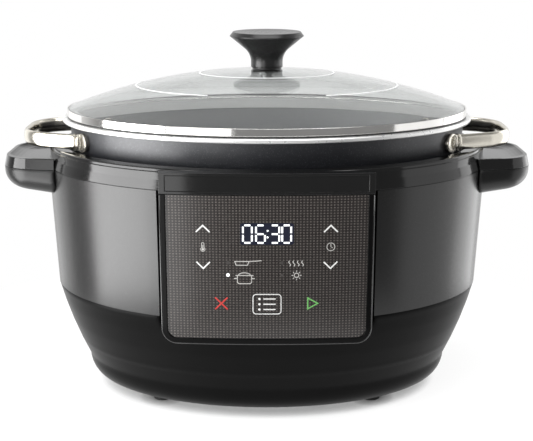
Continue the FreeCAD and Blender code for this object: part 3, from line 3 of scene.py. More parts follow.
import bpy
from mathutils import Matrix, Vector


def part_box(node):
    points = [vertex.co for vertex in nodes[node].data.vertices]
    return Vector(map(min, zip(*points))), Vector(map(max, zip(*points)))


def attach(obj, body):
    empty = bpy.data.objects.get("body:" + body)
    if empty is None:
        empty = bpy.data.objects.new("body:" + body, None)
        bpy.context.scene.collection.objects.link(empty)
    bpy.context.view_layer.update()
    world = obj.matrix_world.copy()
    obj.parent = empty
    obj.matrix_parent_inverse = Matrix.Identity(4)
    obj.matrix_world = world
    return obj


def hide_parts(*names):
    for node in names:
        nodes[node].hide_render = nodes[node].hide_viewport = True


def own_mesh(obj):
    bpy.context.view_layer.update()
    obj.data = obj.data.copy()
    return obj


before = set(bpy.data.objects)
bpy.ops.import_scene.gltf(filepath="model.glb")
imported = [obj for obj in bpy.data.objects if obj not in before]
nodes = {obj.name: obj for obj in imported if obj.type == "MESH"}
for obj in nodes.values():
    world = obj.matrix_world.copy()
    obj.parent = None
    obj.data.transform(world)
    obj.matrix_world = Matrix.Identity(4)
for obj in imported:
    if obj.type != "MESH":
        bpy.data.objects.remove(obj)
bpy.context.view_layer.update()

MM = 0.001
FULL_TURN = 2.0 * math.pi

# The pot and the lid, in millimetres: what the boxes of their nodes don't give
POT_RIM_LOW = 229.5
BAND_HEIGHT = 5.9
SEAT_HEIGHT = 1.0
SPLIT_SLACK = 0.1
GLASS_THICKNESS = 4.0
GLASS_HOLE_RADIUS = 3.5
RING_WIDTH = 1.3
RING_OUTER_HALF = 109.0
RING_OUTER_GAP = 46.0
RING_INNER_HALF = 56.0

# How finely the dome is divided, and the edges and floors that count as sharp and level
DOME_RINGS = 36
DOME_TURNS = 180
SHARP_EDGE = math.radians(40.0)
LEVEL_NORMAL = 0.9

# Finishes: samples for rounded edges, flecks in the pot's coat and the darker tone in the ink's mottle
EDGE_SAMPLES = 6
FLECKS_PER_METRE = 2600.0
INK_MOTTLE = 0.88

# The spring under the temperature sensor, in metres
SPRING_TURNS = 9
SPRING_STEPS = 36
WIRE_RADIUS = 0.7 * MM
WIRE_SIDES = 10

# The touch panel, in millimetres: a shallow arc in plan, its front at x = 0
FACE_Y = -134.05
FACE_RADIUS = 770.0
FACE_STEP = 2.0
DOT_PITCH_ACROSS = 2.5
DOT_PITCH_UP = 2.1
PRINT_LIFT = 0.03
PRINT_THICKNESS = 0.12
WINDOW_LIFT = 0.02
DIGIT_LIFT = 0.16
PLATE_BANDS = 24
LEAST_MITRE = 0.35

# Printed marks: places, sizes and line widths in millimetres, counts, and the steam's turn in radians
CHEVRON_X = 47.5
CHEVRON_HALF = 5.1
CHEVRON_RISE = 5.1
CHEVRON_UP_Z = 166.3
CHEVRON_DOWN_Z = 143.3
CHEVRON_LINE = 1.05
DIGIT_Z = 158.4
COLON_X = 0.55
COLON_RADIUS = 0.75
SIDE_ICON_X = 47.6
SIDE_ICON_LINE = 0.5
MODE_LINE = 0.6
HANDLE_LINE = 0.7
STEAM_X = 17.0
STEAM_Z = 140.2
STEAM_PITCH = 3.2
STEAM_WISPS = 4
STEAM_SWAY = 0.7
STEAM_STEP = 0.62
STEAM_POINTS = 8
STEAM_TURN = 0.9
SUN_X = 22.2
SUN_Z = 133.1
SUN_RAYS = 8
LIT_LAMP_RADIUS = 1.35
DARK_LAMP_RADIUS = 1.25
STOP_LINE = 1.1
MENU_FRAME_LINE = 0.65
MENU_ROW_LINE = 0.85
START_LINE = 0.95

# The gloss bar in the rebate round the bezel's front, in millimetres
EDGE_HALF = 79.4
EDGE_TOP = 193.8
EDGE_LOW = 78.6
EDGE_CORNER = 11.4
EDGE_RADIUS = 0.55
EDGE_LIFT = 0.2
EDGE_SIDES = 12

# The white studio
FLOOR_RADIUS = 0.39
FLOOR_SIDES = 96
FLOOR_FADE = (0.28, 0.38)
FLOOR_GREY = 0.30
FLOOR_LIFT = 0.86
SHADOW_LIFT = 0.02
SHADOW_REACH = 0.013
SHADOW_FADE = (0.22, 0.62)
BACKDROP_TURN = (-0.10, 0.70)
ROOM_LIGHT = 0.26
WHITE = (1.0, 1.0, 1.0, 1.0)
CAMERA_PLACE = (-0.00025, -0.92575, 0.3795)
CAMERA_PITCH = math.radians(75.55)
CAMERA_LENS = 74.88
SENSOR_WIDTH = 36.0

# Each lamp's place, aim, width and height in metres, and its power in watts
LAMPS = {
    "key_left": ((-0.95, -0.46, 0.08), (-0.04, -0.02, 0.14), (0.74, 1.60), 30.0),
    "rim_left": ((-0.80, 0.52, 0.10), (-0.04, 0.0, 0.14), (0.50, 1.50), 1.2),
    "fill_front_left": ((-0.58, -1.05, 0.08), (-0.04, -0.05, 0.12), (0.60, 1.00), 4.2),
    "rim_right": ((0.90, 0.42, 0.10), (0.04, 0.0, 0.14), (0.62, 1.50), 5.2),
    "fill_right": ((1.00, -0.22, 0.10), (0.04, 0.0, 0.14), (0.72, 1.20), 2.3),
    "top": ((0.0, -0.30, 1.35), (0.0, -0.02, 0.2), (1.1, 0.8), 9.0),
}


# Materials

def new_material(name):
    material = bpy.data.materials.new(name)
    material.use_nodes = True
    tree = material.node_tree
    return material, tree, tree.nodes["Principled BSDF"]


def set_sockets(shader, values):
    for socket, value in values.items():
        shader.inputs[socket].default_value = value


def object_coords(tree):
    return tree.nodes.new("ShaderNodeTexCoord").outputs["Object"]


def noise(tree, scale, detail=3.0, roughness=0.5, stretch=None):
    """The value of a noise texture in object space, at so many features per metre."""
    node = tree.nodes.new("ShaderNodeTexNoise")
    set_sockets(node, {"Scale": scale, "Detail": detail, "Roughness": roughness})
    coords = object_coords(tree)
    if stretch:
        mapping = tree.nodes.new("ShaderNodeMapping")
        mapping.inputs["Scale"].default_value = stretch
        tree.links.new(coords, mapping.inputs["Vector"])
        coords = mapping.outputs["Vector"]
    tree.links.new(coords, node.inputs["Vector"])
    return node.outputs["Fac"]


def ramp(tree, value, stops):
    node = tree.nodes.new("ShaderNodeValToRGB")
    elements = node.color_ramp.elements
    while len(elements) < len(stops):
        elements.new(0.5)
    for element, (place, colour) in zip(elements, stops):
        element.position = place
        element.color = (*colour, 1.0)
    tree.links.new(value, node.inputs["Fac"])
    return node.outputs["Color"]


def spread(tree, value, low, high, start=0.3, end=0.7):
    """The value's range from start to end, stretched to run from low to high."""
    node = tree.nodes.new("ShaderNodeMapRange")
    set_sockets(node, {"From Min": start, "From Max": end, "To Min": low, "To Max": high})
    tree.links.new(value, node.inputs["Value"])
    return node.outputs["Result"]


def eased(tree, value, start, end):
    """A smooth step from 0 to 1 as the value goes from start to end."""
    node = tree.nodes.new("ShaderNodeMapRange")
    node.interpolation_type = "SMOOTHSTEP"
    set_sockets(node, {"From Min": start, "From Max": end})
    tree.links.new(value, node.inputs["Value"])
    return node.outputs["Result"]


def maths(tree, operation, first, second=None):
    """One operation on one or two values, each a number or the output of a node."""
    node = tree.nodes.new("ShaderNodeMath")
    node.operation = operation
    for place, value in enumerate((first, second)):
        if value is None:
            continue
        if isinstance(value, float):
            node.inputs[place].default_value = value
        else:
            tree.links.new(value, node.inputs[place])
    return node.outputs["Value"]


def bump(tree, shader, height, strength, distance, edge=0.0):
    """Fine relief, on edges that are shaded as if rounded to this radius."""
    node = tree.nodes.new("ShaderNodeBump")
    set_sockets(node, {"Strength": strength, "Distance": distance})
    tree.links.new(height, node.inputs["Height"])
    if edge:
        rounding = tree.nodes.new("ShaderNodeBevel")
        rounding.samples = EDGE_SAMPLES
        rounding.inputs["Radius"].default_value = edge
        tree.links.new(rounding.outputs["Normal"], node.inputs["Normal"])
    tree.links.new(node.outputs["Normal"], shader.inputs["Normal"])


def surface(name, dark, light, rough, grain, relief, edge=0.0, stretch=None, specular=0.5, metallic=0.0):
    """A moulded, cast or drawn surface: a little cloudy in colour and gloss, with a fine grain."""
    material, tree, shader = new_material(name)
    set_sockets(shader, {"Specular IOR Level": specular, "Metallic": metallic})
    clouds = noise(tree, scale=18.0, detail=4.0, roughness=0.6)
    tree.links.new(ramp(tree, clouds, [(0.3, dark), (0.7, light)]), shader.inputs["Base Color"])
    fine = noise(tree, grain, roughness=0.55, stretch=stretch)
    tree.links.new(spread(tree, fine, rough[0], rough[1]), shader.inputs["Roughness"])
    bump(tree, shader, fine, relief[0], relief[1], edge)
    return material


def grey(value, warm=0.0):
    return (value * (1.0 + warm), value, value * (1.0 - warm))


gloss_black = surface(
    "gloss_black", grey(0.005), grey(0.007), rough=(0.08, 0.13), grain=700.0, relief=(0.04, 0.00005),
    edge=0.0007)
matte_black = surface(
    "matte_black", grey(0.003), grey(0.004), rough=(0.27, 0.33), grain=2600.0, relief=(0.16, 0.00005),
    edge=0.0060, specular=0.075)
grip_black = surface(
    "grip_black", grey(0.005), grey(0.007), rough=(0.26, 0.32), grain=2600.0, relief=(0.12, 0.00005),
    edge=0.0050, specular=0.4)
knob_black = surface(
    "knob_black", grey(0.010), grey(0.014), rough=(0.24, 0.31), grain=2400.0, relief=(0.14, 0.00005),
    edge=0.0018)
wall_paint = surface(
    "wall_paint", grey(0.005), grey(0.007), rough=(0.22, 0.28), grain=1800.0, relief=(0.08, 0.00004),
    specular=0.56)
bezel_black = surface(
    "bezel_black", grey(0.003), grey(0.004), rough=(0.10, 0.16), grain=900.0, relief=(0.05, 0.00005),
    edge=0.0009, specular=0.1)
panel_edge = surface(
    "panel_edge", grey(0.012), grey(0.016), rough=(0.13, 0.19), grain=600.0, relief=(0.04, 0.00005),
    specular=1.0)
inner_plastic = surface(
    "inner_plastic", grey(0.50, 0.03), grey(0.58, 0.03), rough=(0.45, 0.55), grain=1500.0,
    relief=(0.15, 0.00006))
bright_steel = surface(
    "bright_steel", (0.78, 0.77, 0.75), (0.84, 0.83, 0.81), rough=(0.05, 0.11), grain=260.0,
    relief=(0.03, 0.00005), edge=0.0010, metallic=1.0)
skirt_steel = surface(
    "skirt_steel", (0.88, 0.88, 0.87), (0.93, 0.93, 0.92), rough=(0.30, 0.42), grain=260.0,
    relief=(0.03, 0.00005), edge=0.0008)
warm_nickel = surface(
    "warm_nickel", (0.60, 0.57, 0.50), (0.67, 0.64, 0.57), rough=(0.14, 0.22), grain=220.0,
    relief=(0.05, 0.00008), edge=0.0024, metallic=1.0)
rim_steel = surface(
    "rim_steel", (0.82, 0.82, 0.81), (0.88, 0.88, 0.87), rough=(0.26, 0.34), grain=260.0,
    relief=(0.03, 0.00005), metallic=0.6)
plain_steel = surface(
    "plain_steel", grey(0.46), grey(0.58), rough=(0.25, 0.38), grain=1200.0, relief=(0.12, 0.00006),
    metallic=1.0)
aluminium = surface(
    "aluminium", grey(0.58), grey(0.68), rough=(0.28, 0.42), grain=500.0, relief=(0.14, 0.00006),
    stretch=(1.0, 1.0, 9.0), metallic=1.0)
silicone = surface(
    "silicone", grey(0.52), grey(0.60), rough=(0.45, 0.55), grain=1500.0, relief=(0.12, 0.00005))
# Dark silicone for the knob's seat; on the lid band's seat the same dark finish is painted shade
dark_silicone_and_painted_shade = surface(
    "dark_silicone_and_painted_shade", grey(0.016), grey(0.022), rough=(0.40, 0.50), grain=1500.0, relief=(0.12, 0.00005))
rubber = surface(
    "rubber", grey(0.012), grey(0.018), rough=(0.50, 0.64), grain=2200.0, relief=(0.20, 0.00006))
brass = surface(
    "brass", (0.55, 0.39, 0.16), (0.64, 0.47, 0.22), rough=(0.22, 0.34), grain=900.0,
    relief=(0.10, 0.00005), metallic=1.0)
circuit_board = surface(
    "circuit_board", (0.015, 0.085, 0.035), (0.022, 0.12, 0.05), rough=(0.32, 0.45), grain=900.0,
    relief=(0.2, 0.00005))
display_glass = surface(
    "display_glass", (0.010, 0.012, 0.022), (0.014, 0.016, 0.030), rough=(0.10, 0.16), grain=600.0,
    relief=(0.03, 0.00004))
navy_window = surface(
    "navy_window", (0.008, 0.010, 0.022), (0.012, 0.014, 0.030), rough=(0.14, 0.20), grain=500.0,
    relief=(0.03, 0.00004))
lamp_lens = surface(
    "lamp_lens", grey(0.55), grey(0.65), rough=(0.20, 0.30), grain=900.0, relief=(0.06, 0.00005))


def coated_metal(name, dark, light, fleck, rough, share):
    """A non-stick coat with fine metallic flecks in it."""
    material, tree, shader = new_material(name)
    set_sockets(shader, {"Metallic": 0.25, "Specular IOR Level": 1.0})
    cells = tree.nodes.new("ShaderNodeTexVoronoi")
    cells.inputs["Scale"].default_value = FLECKS_PER_METRE
    tree.links.new(object_coords(tree), cells.inputs["Vector"])
    pick = tree.nodes.new("ShaderNodeSeparateColor")
    tree.links.new(cells.outputs["Color"], pick.inputs["Color"])
    flecks = ramp(tree, pick.outputs["Red"], [(0.0, dark), (1.0 - share, light), (1.0, fleck)])
    tree.links.new(flecks, shader.inputs["Base Color"])
    gloss = spread(tree, pick.outputs["Green"], rough[0], rough[1], start=0.0, end=1.0)
    tree.links.new(gloss, shader.inputs["Roughness"])
    grain = noise(tree, scale=900.0, detail=4.0, roughness=0.6)
    bump(tree, shader, grain, strength=0.22, distance=0.00008, edge=0.0008)
    return material


pot_outside = coated_metal(
    "pot_outside", dark=(0.008, 0.009, 0.012), light=(0.014, 0.015, 0.020), fleck=(0.09, 0.095, 0.10),
    rough=(0.30, 0.44), share=0.08)
pot_inside = coated_metal(
    "pot_inside", dark=(0.23, 0.237, 0.241), light=(0.29, 0.298, 0.303), fleck=(0.44, 0.45, 0.46),
    rough=(0.34, 0.50), share=0.10)


def clear_glass(name):
    """Clear glass that looks deeper where it is seen at a slant."""
    material, tree, shader = new_material(name)
    set_sockets(shader, {"Transmission Weight": 1.0, "IOR": 1.46})
    slant = tree.nodes.new("ShaderNodeLayerWeight")
    stops = [(0.45, (0.92, 0.93, 0.925)), (0.85, (0.54, 0.56, 0.555))]
    tree.links.new(ramp(tree, slant.outputs["Facing"], stops), shader.inputs["Base Color"])
    film = noise(tree, scale=14.0)
    tree.links.new(spread(tree, film, low=0.0, high=0.008), shader.inputs["Roughness"])
    return material


lid_glass = clear_glass("clear_glass")


def dotted_fascia(name):
    """Dark printed panel with a fine grid of paler dots, behind a gloss sheet."""
    material, tree, shader = new_material(name)
    set_sockets(shader, {"Specular IOR Level": 0.35, "Coat Weight": 0.75, "Coat Roughness": 0.18})
    parts = tree.nodes.new("ShaderNodeSeparateXYZ")
    tree.links.new(object_coords(tree), parts.inputs["Vector"])

    def ripple(axis, pitch):
        turns = maths(tree, "MULTIPLY", parts.outputs[axis], FULL_TURN / (pitch * MM))
        return maths(tree, "COSINE", turns)

    grid = maths(tree, "ADD", ripple("X", DOT_PITCH_ACROSS), ripple("Z", DOT_PITCH_UP))
    stops = [(0.0, (0.014, 0.011, 0.010)), (1.0, (0.112, 0.099, 0.091))]
    dots = ramp(tree, spread(tree, grid, low=0.0, high=1.0, start=0.55, end=1.25), stops)
    tree.links.new(dots, shader.inputs["Base Color"])
    fine = noise(tree, scale=300.0)
    tree.links.new(spread(tree, fine, low=0.24, high=0.32), shader.inputs["Roughness"])
    bump(tree, shader, fine, strength=0.03, distance=0.00005, edge=0.0003)
    return material


fascia = dotted_fascia("dotted_fascia")


def ink(name, colour, glow=0.0):
    """Screen-printed or backlit mark: an even tone with a slight mottle."""
    material, tree, shader = new_material(name)
    mottle = noise(tree, scale=1600.0, detail=2.0)
    soft = tuple(c * INK_MOTTLE for c in colour)
    tree.links.new(ramp(tree, mottle, [(0.35, soft), (0.65, colour)]), shader.inputs["Base Color"])
    tree.links.new(spread(tree, mottle, low=0.34, high=0.44), shader.inputs["Roughness"])
    if glow:
        set_sockets(shader, {"Emission Color": (*colour, 1.0), "Emission Strength": glow})
    return material


white_ink = ink("white_ink", (0.72, 0.72, 0.71), glow=0.25)
lit_white = ink("lit_white", (0.92, 0.94, 0.96), glow=0.7)
grey_ink = ink("grey_ink", (0.52, 0.51, 0.49), glow=0.12)
red_ink = ink("red_ink", (0.50, 0.035, 0.03), glow=0.25)
green_ink = ink("green_ink", (0.16, 0.46, 0.13), glow=0.2)
# The lid's rings are white print; their glow is painted light, as they are no lamp
ring_ink_painted_glow = ink("ring_ink_painted_glow", (0.90, 0.91, 0.91), glow=0.3)
dark_lamp = ink("dark_lamp", (0.045, 0.040, 0.038))

BY_SLOT = {
    "gloss_black_plastic": gloss_black, "matte_black_plastic": matte_black, "knob_plastic": knob_black,
    "inner_plastic": inner_plastic, "bezel_plastic": bezel_black, "fascia": fascia,
    "wall_paint": wall_paint, "coated_pot": pot_outside, "bright_steel": bright_steel,
    "steel": plain_steel, "well_aluminium": aluminium, "lid_glass": lid_glass, "silicone": silicone,
    "rubber": rubber, "circuit_board": circuit_board, "display": display_glass, "lamp": lamp_lens,
    "brass": brass,
}
BY_NODE = {
    "handle_grip_left": grip_black, "handle_grip_right": grip_black,
    "pot_handle_left": warm_nickel, "pot_handle_right": warm_nickel,
    "pot_rivets_left": warm_nickel, "pot_rivets_right": warm_nickel,
    "knob_seat": dark_silicone_and_painted_shade,
}

for name, node in nodes.items():
    slot = node.material_slots[0]
    slot.material = BY_NODE.get(name) or BY_SLOT[slot.material.name]


def add_finish(node, material):
    """Adds a material to a node and gives its number there."""
    node.data.materials.append(material)
    return len(node.data.materials) - 1


# The pot is coated inside and out, and its turned rim is bare metal
pot = nodes["cooking_pot"]
coat = add_finish(pot, pot_inside)
rim = add_finish(pot, rim_steel)
for face in pot.data.polygons:
    middle = face.center
    outward = Vector((middle.x, middle.y, 0.0)).dot(face.normal)
    lowest = min(pot.data.vertices[k].co.z for k in face.vertices)
    if lowest > POT_RIM_LOW * MM:
        face.material_index = rim
    elif outward < 0.0 or face.normal.z > LEVEL_NORMAL:
        face.material_index = coat

# The lid's band is bright outside, its seat over the pot's rim is painted dark as the shade in the gap
# there, and it has a satin skirt inside the pot
band = nodes["lid_band"]
band_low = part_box("lid_band")[1].z - BAND_HEIGHT * MM
painted_shade_seat = add_finish(band, dark_silicone_and_painted_shade)
skirt = add_finish(band, skirt_steel)
for face in band.data.polygons:
    depth = (band_low - face.center.z) / MM
    if depth > SEAT_HEIGHT + SPLIT_SLACK:
        face.material_index = skirt
    # Painted shade: the seat takes the dark finish for the shadow in the gap over the rim
    elif depth > -SPLIT_SLACK:
        face.material_index = painted_shade_seat


# Pieces

def new_piece(name, places, faces, material):
    mesh = bpy.data.meshes.new(name)
    mesh.from_pydata(places, [], faces)
    mesh.validate()
    mesh.materials.append(material)
    piece = bpy.data.objects.new(name, mesh)
    bpy.context.scene.collection.objects.link(piece)
    return piece


def thicken(piece):
    """Gives a flat print its thickness."""
    body = piece.modifiers.new("thickness", "SOLIDIFY")
    body.thickness = PRINT_THICKNESS * MM
    body.offset = 0.0


# The lid's glass, as one smooth dome with two fine printed rings

glass_low, glass_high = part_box("lid_glass")
GLASS_MIDDLE = (glass_low + glass_high) / 2.0
GLASS_HALF = (glass_high - glass_low) / 2.0
DOME_RISE = glass_high.z - glass_low.z - GLASS_THICKNESS * MM
DOME_CURVE = (GLASS_HALF.x ** 2 + DOME_RISE ** 2) / (2.0 * DOME_RISE)


def on_dome(half_x, half_y, turn, lift=0.0):
    """A point over the dome's top face, on an oval of these half lengths about the knob."""
    x = half_x * math.cos(turn)
    y = half_y * math.sin(turn)
    reach = GLASS_HALF.x * math.hypot(x / GLASS_HALF.x, y / GLASS_HALF.y)
    drop = DOME_CURVE - math.sqrt(DOME_CURVE ** 2 - reach ** 2)
    return Vector((GLASS_MIDDLE.x + x, GLASS_MIDDLE.y + y, glass_high.z - drop + lift))


def lid_piece(name, places, faces, material):
    piece = new_piece(name, places, faces, material)
    piece.data.shade_smooth()
    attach(piece, "lid")
    return piece


def make_glass():
    """Rows of points run from the hole out over the top, round the edge and back underneath."""
    hole = GLASS_HOLE_RADIUS * MM
    turns = [FULL_TURN * k / DOME_TURNS for k in range(DOME_TURNS)]
    shares = [k / DOME_RINGS for k in range(DOME_RINGS + 1)]
    rows = [(share, 0.0) for share in shares]
    rows += [(share, -GLASS_THICKNESS * MM) for share in reversed(shares)]
    places = []
    for share, lift in rows:
        half_x = hole + (GLASS_HALF.x - hole) * share
        half_y = hole + (GLASS_HALF.y - hole) * share
        places += [on_dome(half_x, half_y, turn, lift) for turn in turns]
    faces = []
    for row in range(len(rows)):
        start = row * DOME_TURNS
        after = (row + 1) % len(rows) * DOME_TURNS
        for k in range(DOME_TURNS):
            beside = (k + 1) % DOME_TURNS
            faces.append((start + k, after + k, after + beside, start + beside))
    glass = lid_piece("glass_dome", places, faces, lid_glass)
    glass.data.set_sharp_from_angle(angle=SHARP_EDGE)
    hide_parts("lid_glass")


def glass_ring(name, half, gap):
    """A fine printed oval on the dome, open at the front by this much each side of the middle."""
    half_x = half * MM
    half_y = half_x * GLASS_HALF.y / GLASS_HALF.x
    open_turn = math.asin(gap / half)
    start = -math.pi / 2.0 + open_turn
    sweep = FULL_TURN - 2.0 * open_turn
    width = RING_WIDTH * MM / 2.0
    count = DOME_TURNS + 1 if gap else DOME_TURNS
    places = []
    for k in range(count):
        turn = start + sweep * k / DOME_TURNS
        for side in (-width, width):
            places.append(on_dome(half_x + side, half_y + side, turn, PRINT_LIFT * MM))
    ends = 2 * count
    faces = [(2 * k, 2 * k + 1, (2 * k + 3) % ends, (2 * k + 2) % ends) for k in range(DOME_TURNS)]
    thicken(lid_piece(name, places, faces, ring_ink_painted_glow))


make_glass()
glass_ring("glass_ring_outer", RING_OUTER_HALF, RING_OUTER_GAP)
glass_ring("glass_ring_inner", RING_INNER_HALF, 0.0)


# The wound spring under the temperature sensor

def closed_bar(name, rings, material):
    """A bar of the base that runs through these rings of points and is closed at both ends."""
    sides = len(rings[0])
    last = (len(rings) - 1) * sides
    faces = [tuple(range(sides)), tuple(range(last, last + sides))[::-1]]
    for start in range(0, last, sides):
        after = start + sides
        for k in range(sides):
            beside = (k + 1) % sides
            faces.append((start + k, after + k, after + beside, start + beside))
    bar = new_piece(name, [place for ring in rings for place in ring], faces, material)
    bar.data.shade_smooth()
    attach(bar, "base")
    return bar


def make_spring():
    """One wire wound between the ends of the sleeve that it stands for."""
    low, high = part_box("sensor_spring")
    middle = (low + high) / 2.0
    radius = (high.x - low.x) / 2.0 - WIRE_RADIUS
    rise = high.z - low.z - 2.0 * WIRE_RADIUS
    count = SPRING_TURNS * SPRING_STEPS
    rings = []
    for k in range(count + 1):
        turn = FULL_TURN * k / SPRING_STEPS
        ring = []
        for side in range(WIRE_SIDES):
            around = FULL_TURN * side / WIRE_SIDES
            reach = radius + WIRE_RADIUS * math.cos(around)
            level = low.z + WIRE_RADIUS + rise * k / count + WIRE_RADIUS * math.sin(around)
            ring.append((middle.x + reach * math.cos(turn), middle.y + reach * math.sin(turn), level))
        rings.append(ring)
    coil = closed_bar("sensor_coil", rings, plain_steel)
    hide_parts("sensor_spring")
    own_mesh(coil)


make_spring()


# Marks on the touch panel, in millimetres across and up

def on_face(x, z, lift):
    return Vector((x, FACE_Y + x * x / (2.0 * FACE_RADIUS) - lift, z)) * MM


def divided(points, closed=False):
    """The same line with points added, so that long runs can follow the curved face."""
    ends = points[1:] + points[:1] if closed else points[1:]
    result = []
    for (x0, z0), (x1, z1) in zip(points, ends):
        parts = max(1, math.ceil(abs(x1 - x0) / FACE_STEP))
        result += [(x0 + (x1 - x0) * k / parts, z0 + (z1 - z0) * k / parts) for k in range(parts)]
    return result if closed else result + [points[-1]]


def stroke(points, width, closed=False):
    """Four-sided faces along a line of even width, with mitred corners."""
    line = divided(points, closed)
    count = len(line)
    left, right = [], []
    for k, (x, z) in enumerate(line):
        before = line[k - 1] if closed or k else None
        after = line[(k + 1) % count] if closed or k < count - 1 else None
        legs = []
        if before is not None:
            legs.append(Vector((x - before[0], z - before[1])).normalized())
        if after is not None:
            legs.append(Vector((after[0] - x, after[1] - z)).normalized())
        along = sum(legs, Vector((0.0, 0.0))).normalized()
        across = Vector((-along.y, along.x))
        reach = width / 2.0 / max(LEAST_MITRE, along.dot(legs[0]))
        left.append((x + across.x * reach, z + across.y * reach))
        right.append((x - across.x * reach, z - across.y * reach))
    spans = count if closed else count - 1
    return [(left[k], left[(k + 1) % count], right[(k + 1) % count], right[k]) for k in range(spans)]


def arc(x, z, radius, start=0.0, end=360.0, parts=20, squeeze=1.0):
    turns = [math.radians(start + (end - start) * k / parts) for k in range(parts + 1)]
    return [(x + radius * math.cos(t), z + radius * squeeze * math.sin(t)) for t in turns]


def circle(x, z, radius, parts):
    return arc(x, z, radius, parts=parts)[:-1]


def disc(x, z, radius, parts=24):
    rim = circle(x, z, radius, parts)
    return [((x, z), rim[k], rim[(k + 1) % parts]) for k in range(parts)]


def rounded_box(x0, z0, x1, z1, radius):
    corners = [(x1 - radius, z1 - radius, 0), (x0 + radius, z1 - radius, 90),
               (x0 + radius, z0 + radius, 180), (x1 - radius, z0 + radius, 270)]
    return [p for x, z, start in corners for p in arc(x, z, radius, start, start + 90, 5)]


def filled(outline):
    """A plate with this outline, cut into upright bands so that it follows the curved face."""
    low = min(p[0] for p in outline)
    high = max(p[0] for p in outline)
    cuts = [low + (high - low) * k / PLATE_BANDS for k in range(PLATE_BANDS + 1)]

    def height(x, pick):
        found = []
        for (x0, z0), (x1, z1) in zip(outline, outline[1:] + outline[:1]):
            if not min(x0, x1) <= x <= max(x0, x1):
                continue
            if x1 == x0:
                found += [z0, z1]
            else:
                share = (x - x0) / (x1 - x0)
                found.append(z0 + (z1 - z0) * share)
        return pick(found)

    return [((a, height(a, min)), (b, height(b, min)), (b, height(b, max)), (a, height(a, max)))
            for a, b in zip(cuts, cuts[1:])]


def mark(name, faces, material, lift=PRINT_LIFT):
    """Thin printed marks that lie on the curved panel face."""
    places, polygons, known = [], [], {}
    for face in faces:
        indices = []
        for x, z in face:
            key = (round(x, 4), round(z, 4))
            if key not in known:
                known[key] = len(places)
                places.append(on_face(x, z, lift))
            if known[key] not in indices:
                indices.append(known[key])
        if len(indices) > 2:
            polygons.append(indices)
    piece = new_piece(name, places, polygons, material)
    thicken(piece)
    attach(piece, "base")


def chevron(x, z, rise):
    return stroke([(x - CHEVRON_HALF, z), (x, z + rise), (x + CHEVRON_HALF, z)], CHEVRON_LINE)


for side, x in (("left", -CHEVRON_X), ("right", CHEVRON_X)):
    mark("chevron_up_" + side, chevron(x, CHEVRON_UP_Z, CHEVRON_RISE), white_ink)
    mark("chevron_down_" + side, chevron(x, CHEVRON_DOWN_Z, -CHEVRON_RISE), white_ink)

window = filled(rounded_box(-19.8, 156.9, 20.0, 173.3, 0.8))
mark("display_window", window, navy_window, WINDOW_LIFT)

SEGMENTS = {"0": "abcdef", "3": "abcdg", "6": "acdefg"}


def digit(x, z, kind, width=6.6, height=13.4, thick=1.35, gap=0.35):
    """The lit bars of one seven-segment digit, by its lower left corner."""
    half = height / 2.0
    inset = thick / 2.0
    bars = {
        "a": ((x + inset, z + height), (x + width - inset, z + height)),
        "b": ((x + width, z + height - inset), (x + width, z + half + inset / 2)),
        "c": ((x + width, z + half - inset / 2), (x + width, z + inset)),
        "d": ((x + inset, z), (x + width - inset, z)),
        "e": ((x, z + half - inset / 2), (x, z + inset)),
        "f": ((x, z + height - inset), (x, z + half + inset / 2)),
        "g": ((x + inset, z + half), (x + width - inset, z + half)),
    }
    faces = []
    for key in SEGMENTS[kind]:
        (x0, z0), (x1, z1) = bars[key]
        length = math.hypot(x1 - x0, z1 - z0)
        ux = (x1 - x0) / length * gap
        uz = (z1 - z0) / length * gap
        faces += stroke([(x0 + ux, z0 + uz), (x1 - ux, z1 - uz)], thick)
    return faces


time_faces = []
for x, kind in ((-17.7, "0"), (-8.0, "6"), (2.6, "3"), (11.4, "0")):
    time_faces += digit(x, DIGIT_Z, kind)
for z in (162.6, 167.6):
    time_faces += disc(COLON_X, z, COLON_RADIUS, 14)
mark("display_digits", time_faces, lit_white, DIGIT_LIFT)

# Thermometer and clock between the arrows
tube = arc(-SIDE_ICON_X, 157.3, 0.9, start=0, end=180, parts=8)
tube += arc(-SIDE_ICON_X, 153.0, 1.6, start=125, end=415, parts=16)
thermometer = stroke(tube, 0.45, closed=True)
thermometer += disc(-SIDE_ICON_X, 153.0, 0.95, 16)
thermometer += stroke([(-SIDE_ICON_X, 153.5), (-SIDE_ICON_X, 156.4)], SIDE_ICON_LINE)
mark("icon_temperature", thermometer, grey_ink)
clock = stroke(circle(SIDE_ICON_X, 154.9, 3.0, 28), SIDE_ICON_LINE, closed=True)
clock += stroke([(SIDE_ICON_X, 157.0), (SIDE_ICON_X, 154.9), (49.1, 154.0)], SIDE_ICON_LINE)
mark("icon_time", clock, grey_ink)

# Cooking modes: a lamp and a plain pictogram for each
pan = stroke([(-24.0, 143.9), (-22.9, 141.0), (-14.4, 141.0), (-13.3, 143.9)], MODE_LINE)
pan += stroke([(-24.2, 143.9), (-13.4, 143.9), (-4.0, 144.6)], MODE_LINE)
mark("icon_pan", pan, grey_ink)

steam = []
for wisp in range(STEAM_WISPS):
    x = STEAM_X + STEAM_PITCH * wisp
    steam += stroke([
        (x + STEAM_SWAY * math.sin(k * STEAM_TURN), STEAM_Z + STEAM_STEP * k)
        for k in range(STEAM_POINTS)], MODE_LINE)
mark("icon_steam", steam, grey_ink)

stew_pot = stroke([
    (-22.0, 132.8), (-22.0, 127.6), (-21.0, 126.6),
    (-12.4, 126.6), (-11.4, 127.6), (-11.4, 132.8)], MODE_LINE)
stew_pot += stroke([(-23.4, 133.0), (-10.0, 133.0)], MODE_LINE)
stew_pot += stroke(arc(-16.7, 133.0, 4.6, start=15, end=165, parts=12, squeeze=0.45), MODE_LINE)
stew_pot += stroke([(-24.4, 130.6), (-22.0, 130.6)], HANDLE_LINE)
stew_pot += stroke([(-11.4, 130.6), (-9.0, 130.6)], HANDLE_LINE)
mark("icon_pot", stew_pot, grey_ink)

